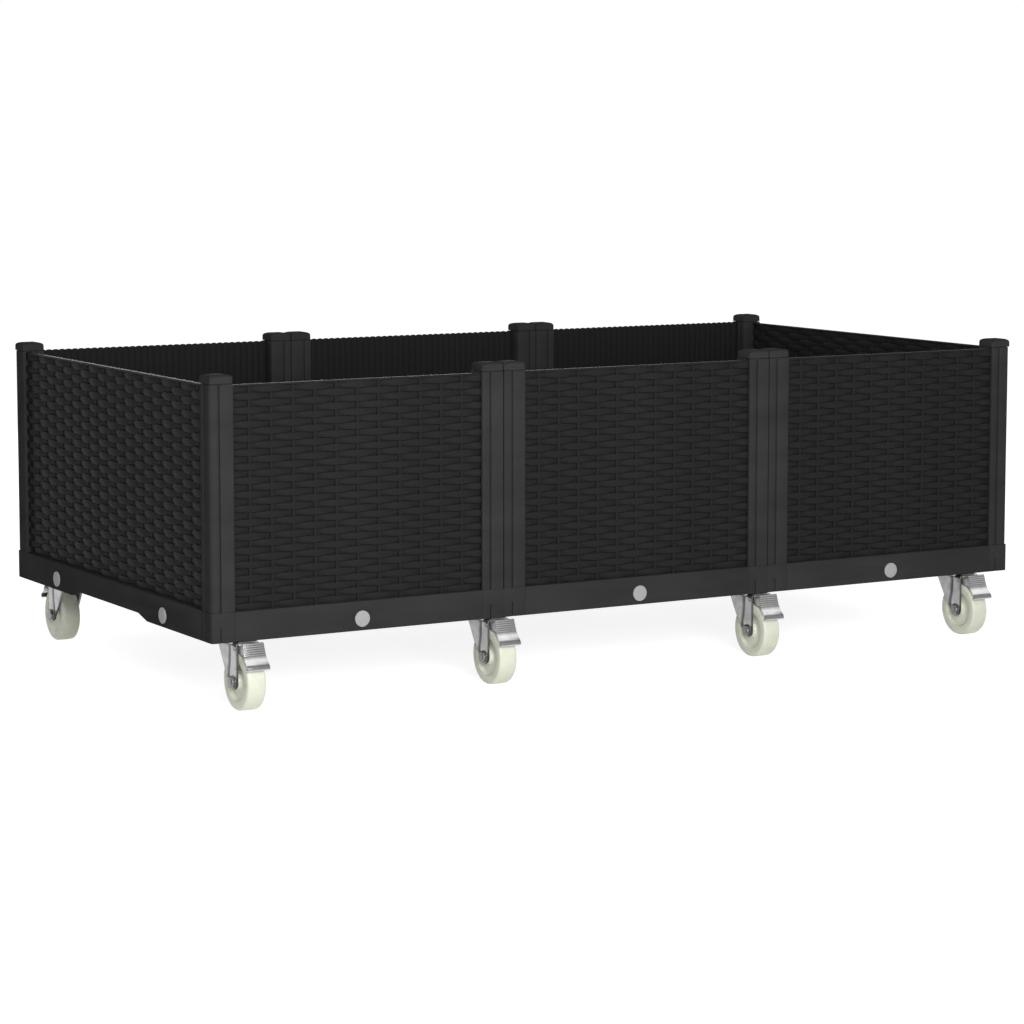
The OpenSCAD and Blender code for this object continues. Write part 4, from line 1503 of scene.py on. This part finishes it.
    @staticmethod
    def _bent(path: Sequence[Point], thickness: float) -> bpy.types.Mesh:
        """Make a bent plate across X that widens towards its far edge.

        Args:
            path: The plate's line in side view.
            thickness: Its thickness.

        Returns:
            The closed mesh.
        """
        rows = []
        count = len(path)
        for k, at in enumerate(path):
            way = (Vector(path[min(k + 1, count - 1)])
                   - Vector(path[max(k - 1, 0)])).normalized()
            aside = Vector((way.y, -way.x)) * thickness / 2
            near, far = Vector(at) + aside, Vector(at) - aside
            half = 0.0135 + 0.0010 * min(1.0, k / (count * 0.8))
            rows.append([(-half, *near), (half, *near), (half, *far), (-half, *far)])
        return Bench.lofted(rows)


# ---- Camera, floor and light ----------------------------------------------------------


@dataclass
class Studio:
    """The camera at the photograph's angle, the pale floor and the soft light.

    Attributes:
        place: The camera's place.
        heading: Its heading in degrees, clockwise from +Y.
        pitch: How far it looks down, in degrees.
        lens: Its focal length in millimetres.
        shift: Its lens shift.
        horizon: Level of the world's light at the horizon.
        zenith: Level of the world's light overhead.
        floor_grey: Grey of the floor.
        floor_glow: How much the floor adds where it is seen, so that it clips to white.
        lamp_size: Width and height of a lamp's face.
        aim: Place that the lamps face.
    """

    place: Place = (-2.1046, -3.6141, 0.7121)
    heading: float = 30.111
    pitch: float = 6.403
    lens: float = 108.41
    shift: Point = (0.0017, -0.05)
    horizon: float = 0.34
    zenith: float = 0.18
    floor_grey: float = 0.86
    floor_glow: float = 0.85
    lamp_size: Point = (1.4, 0.9)
    aim: Place = (0.0, 0.0, 0.2)

    def build(self) -> None:
        """Set up the camera, world, floor and lamps."""
        scene = bpy.context.scene
        scene.view_settings.view_transform = "Standard"
        self._camera(scene)
        self._world(scene)
        self._floor()
        self._lamp("key", (-1.05, -2.65, 0.85), 48.0)
        self._lamp("rear", (1.05, 2.65, 0.85), 16.0, gloss=0.0)

    def _camera(self, scene: bpy.types.Scene) -> None:
        """Set the camera."""
        data = bpy.data.cameras.new("camera")
        data.lens = self.lens
        data.sensor_width = 36.0
        data.shift_x, data.shift_y = self.shift
        data.clip_end = 50.0
        camera = bpy.data.objects.new("camera", data)
        camera.location = self.place
        camera.rotation_euler = (math.radians(90 - self.pitch), 0.0,
                                 math.radians(-self.heading))
        scene.collection.objects.link(camera)
        scene.camera = camera

    def _world(self, scene: bpy.types.Scene) -> None:
        """Make a world that looks white and lights the bed softly."""
        world = bpy.data.worlds.new("world")
        scene.world = world
        world.use_nodes = True
        tree = NodeTree(world.node_tree)
        ray = tree.node("ShaderNodeSeparateXYZ",
                        Vector=tree.node("ShaderNodeTexCoord").outputs["Generated"])
        soft = tree.node("ShaderNodeMapRange", Value=ray.outputs["Z"],
                         To_Min=self.horizon, To_Max=self.zenith)
        level = tree.node("ShaderNodeMapRange", Value=tree.seen(),
                          To_Min=soft.outputs[0], To_Max=1.0)
        back = tree.tree.nodes["Background"]
        tree.put(level.outputs[0], back.inputs["Strength"])
        tree.put((1.0, 1.0, 1.0, 1.0), back.inputs["Color"])

    def _floor(self) -> None:
        """Make the pale floor, which keeps the bed's shadow."""
        shape = bmesh.new()
        bmesh.ops.create_circle(shape, cap_ends=True, radius=14.0, segments=64)
        mesh = bpy.data.meshes.new("floor")
        shape.to_mesh(mesh)
        shape.free()
        floor = bpy.data.objects.new("floor", mesh)
        bpy.context.scene.collection.objects.link(floor)
        material = bpy.data.materials.new("floor")
        material.use_nodes = True
        tree = NodeTree(material.node_tree)
        nodes = tree.tree.nodes
        nodes.remove(nodes["Principled BSDF"])
        matt = tree.node("ShaderNodeBsdfDiffuse", Color=(*[self.floor_grey] * 3, 1.0))
        glow = tree.node("ShaderNodeEmission",
                         Strength=tree.times(tree.seen(), self.floor_glow))
        both = tree.node("ShaderNodeAddShader")
        for shader, socket in zip((matt, glow), both.inputs):
            tree.put(shader.outputs[0], socket)
        tree.put(both.outputs[0], nodes["Material Output"].inputs["Surface"])
        mesh.materials.append(material)

    def _lamp(self, name: str, place: Place, power: float, gloss: float = 1.0) -> None:
        """Set a large soft lamp that faces the bed.

        Args:
            name: Name of the lamp.
            place: Where it hangs.
            power: Its power in watts.
            gloss: How strongly it shows in glossy surfaces.
        """
        data = bpy.data.lights.new(name, "AREA")
        data.shape = "RECTANGLE"
        data.size, data.size_y = self.lamp_size
        data.energy = power
        data.specular_factor = gloss
        lamp = bpy.data.objects.new(name, data)
        lamp.location = place
        way = Vector(self.aim) - Vector(place)
        lamp.rotation_euler = way.to_track_quat("-Z", "Y").to_euler()
        bpy.context.scene.collection.objects.link(lamp)


def main() -> None:
    """Build the bed and its studio."""
    logging.basicConfig(level=logging.INFO, format="%(name)s: %(message)s")
    bed = Bed()
    Studio().build()
    for group in (Mouldings(bed), WovenPanels(bed), Casters(bed)):
        group.build()
        LOG.info("%s done", type(group).__name__)


if __name__ == "__main__":
    main()
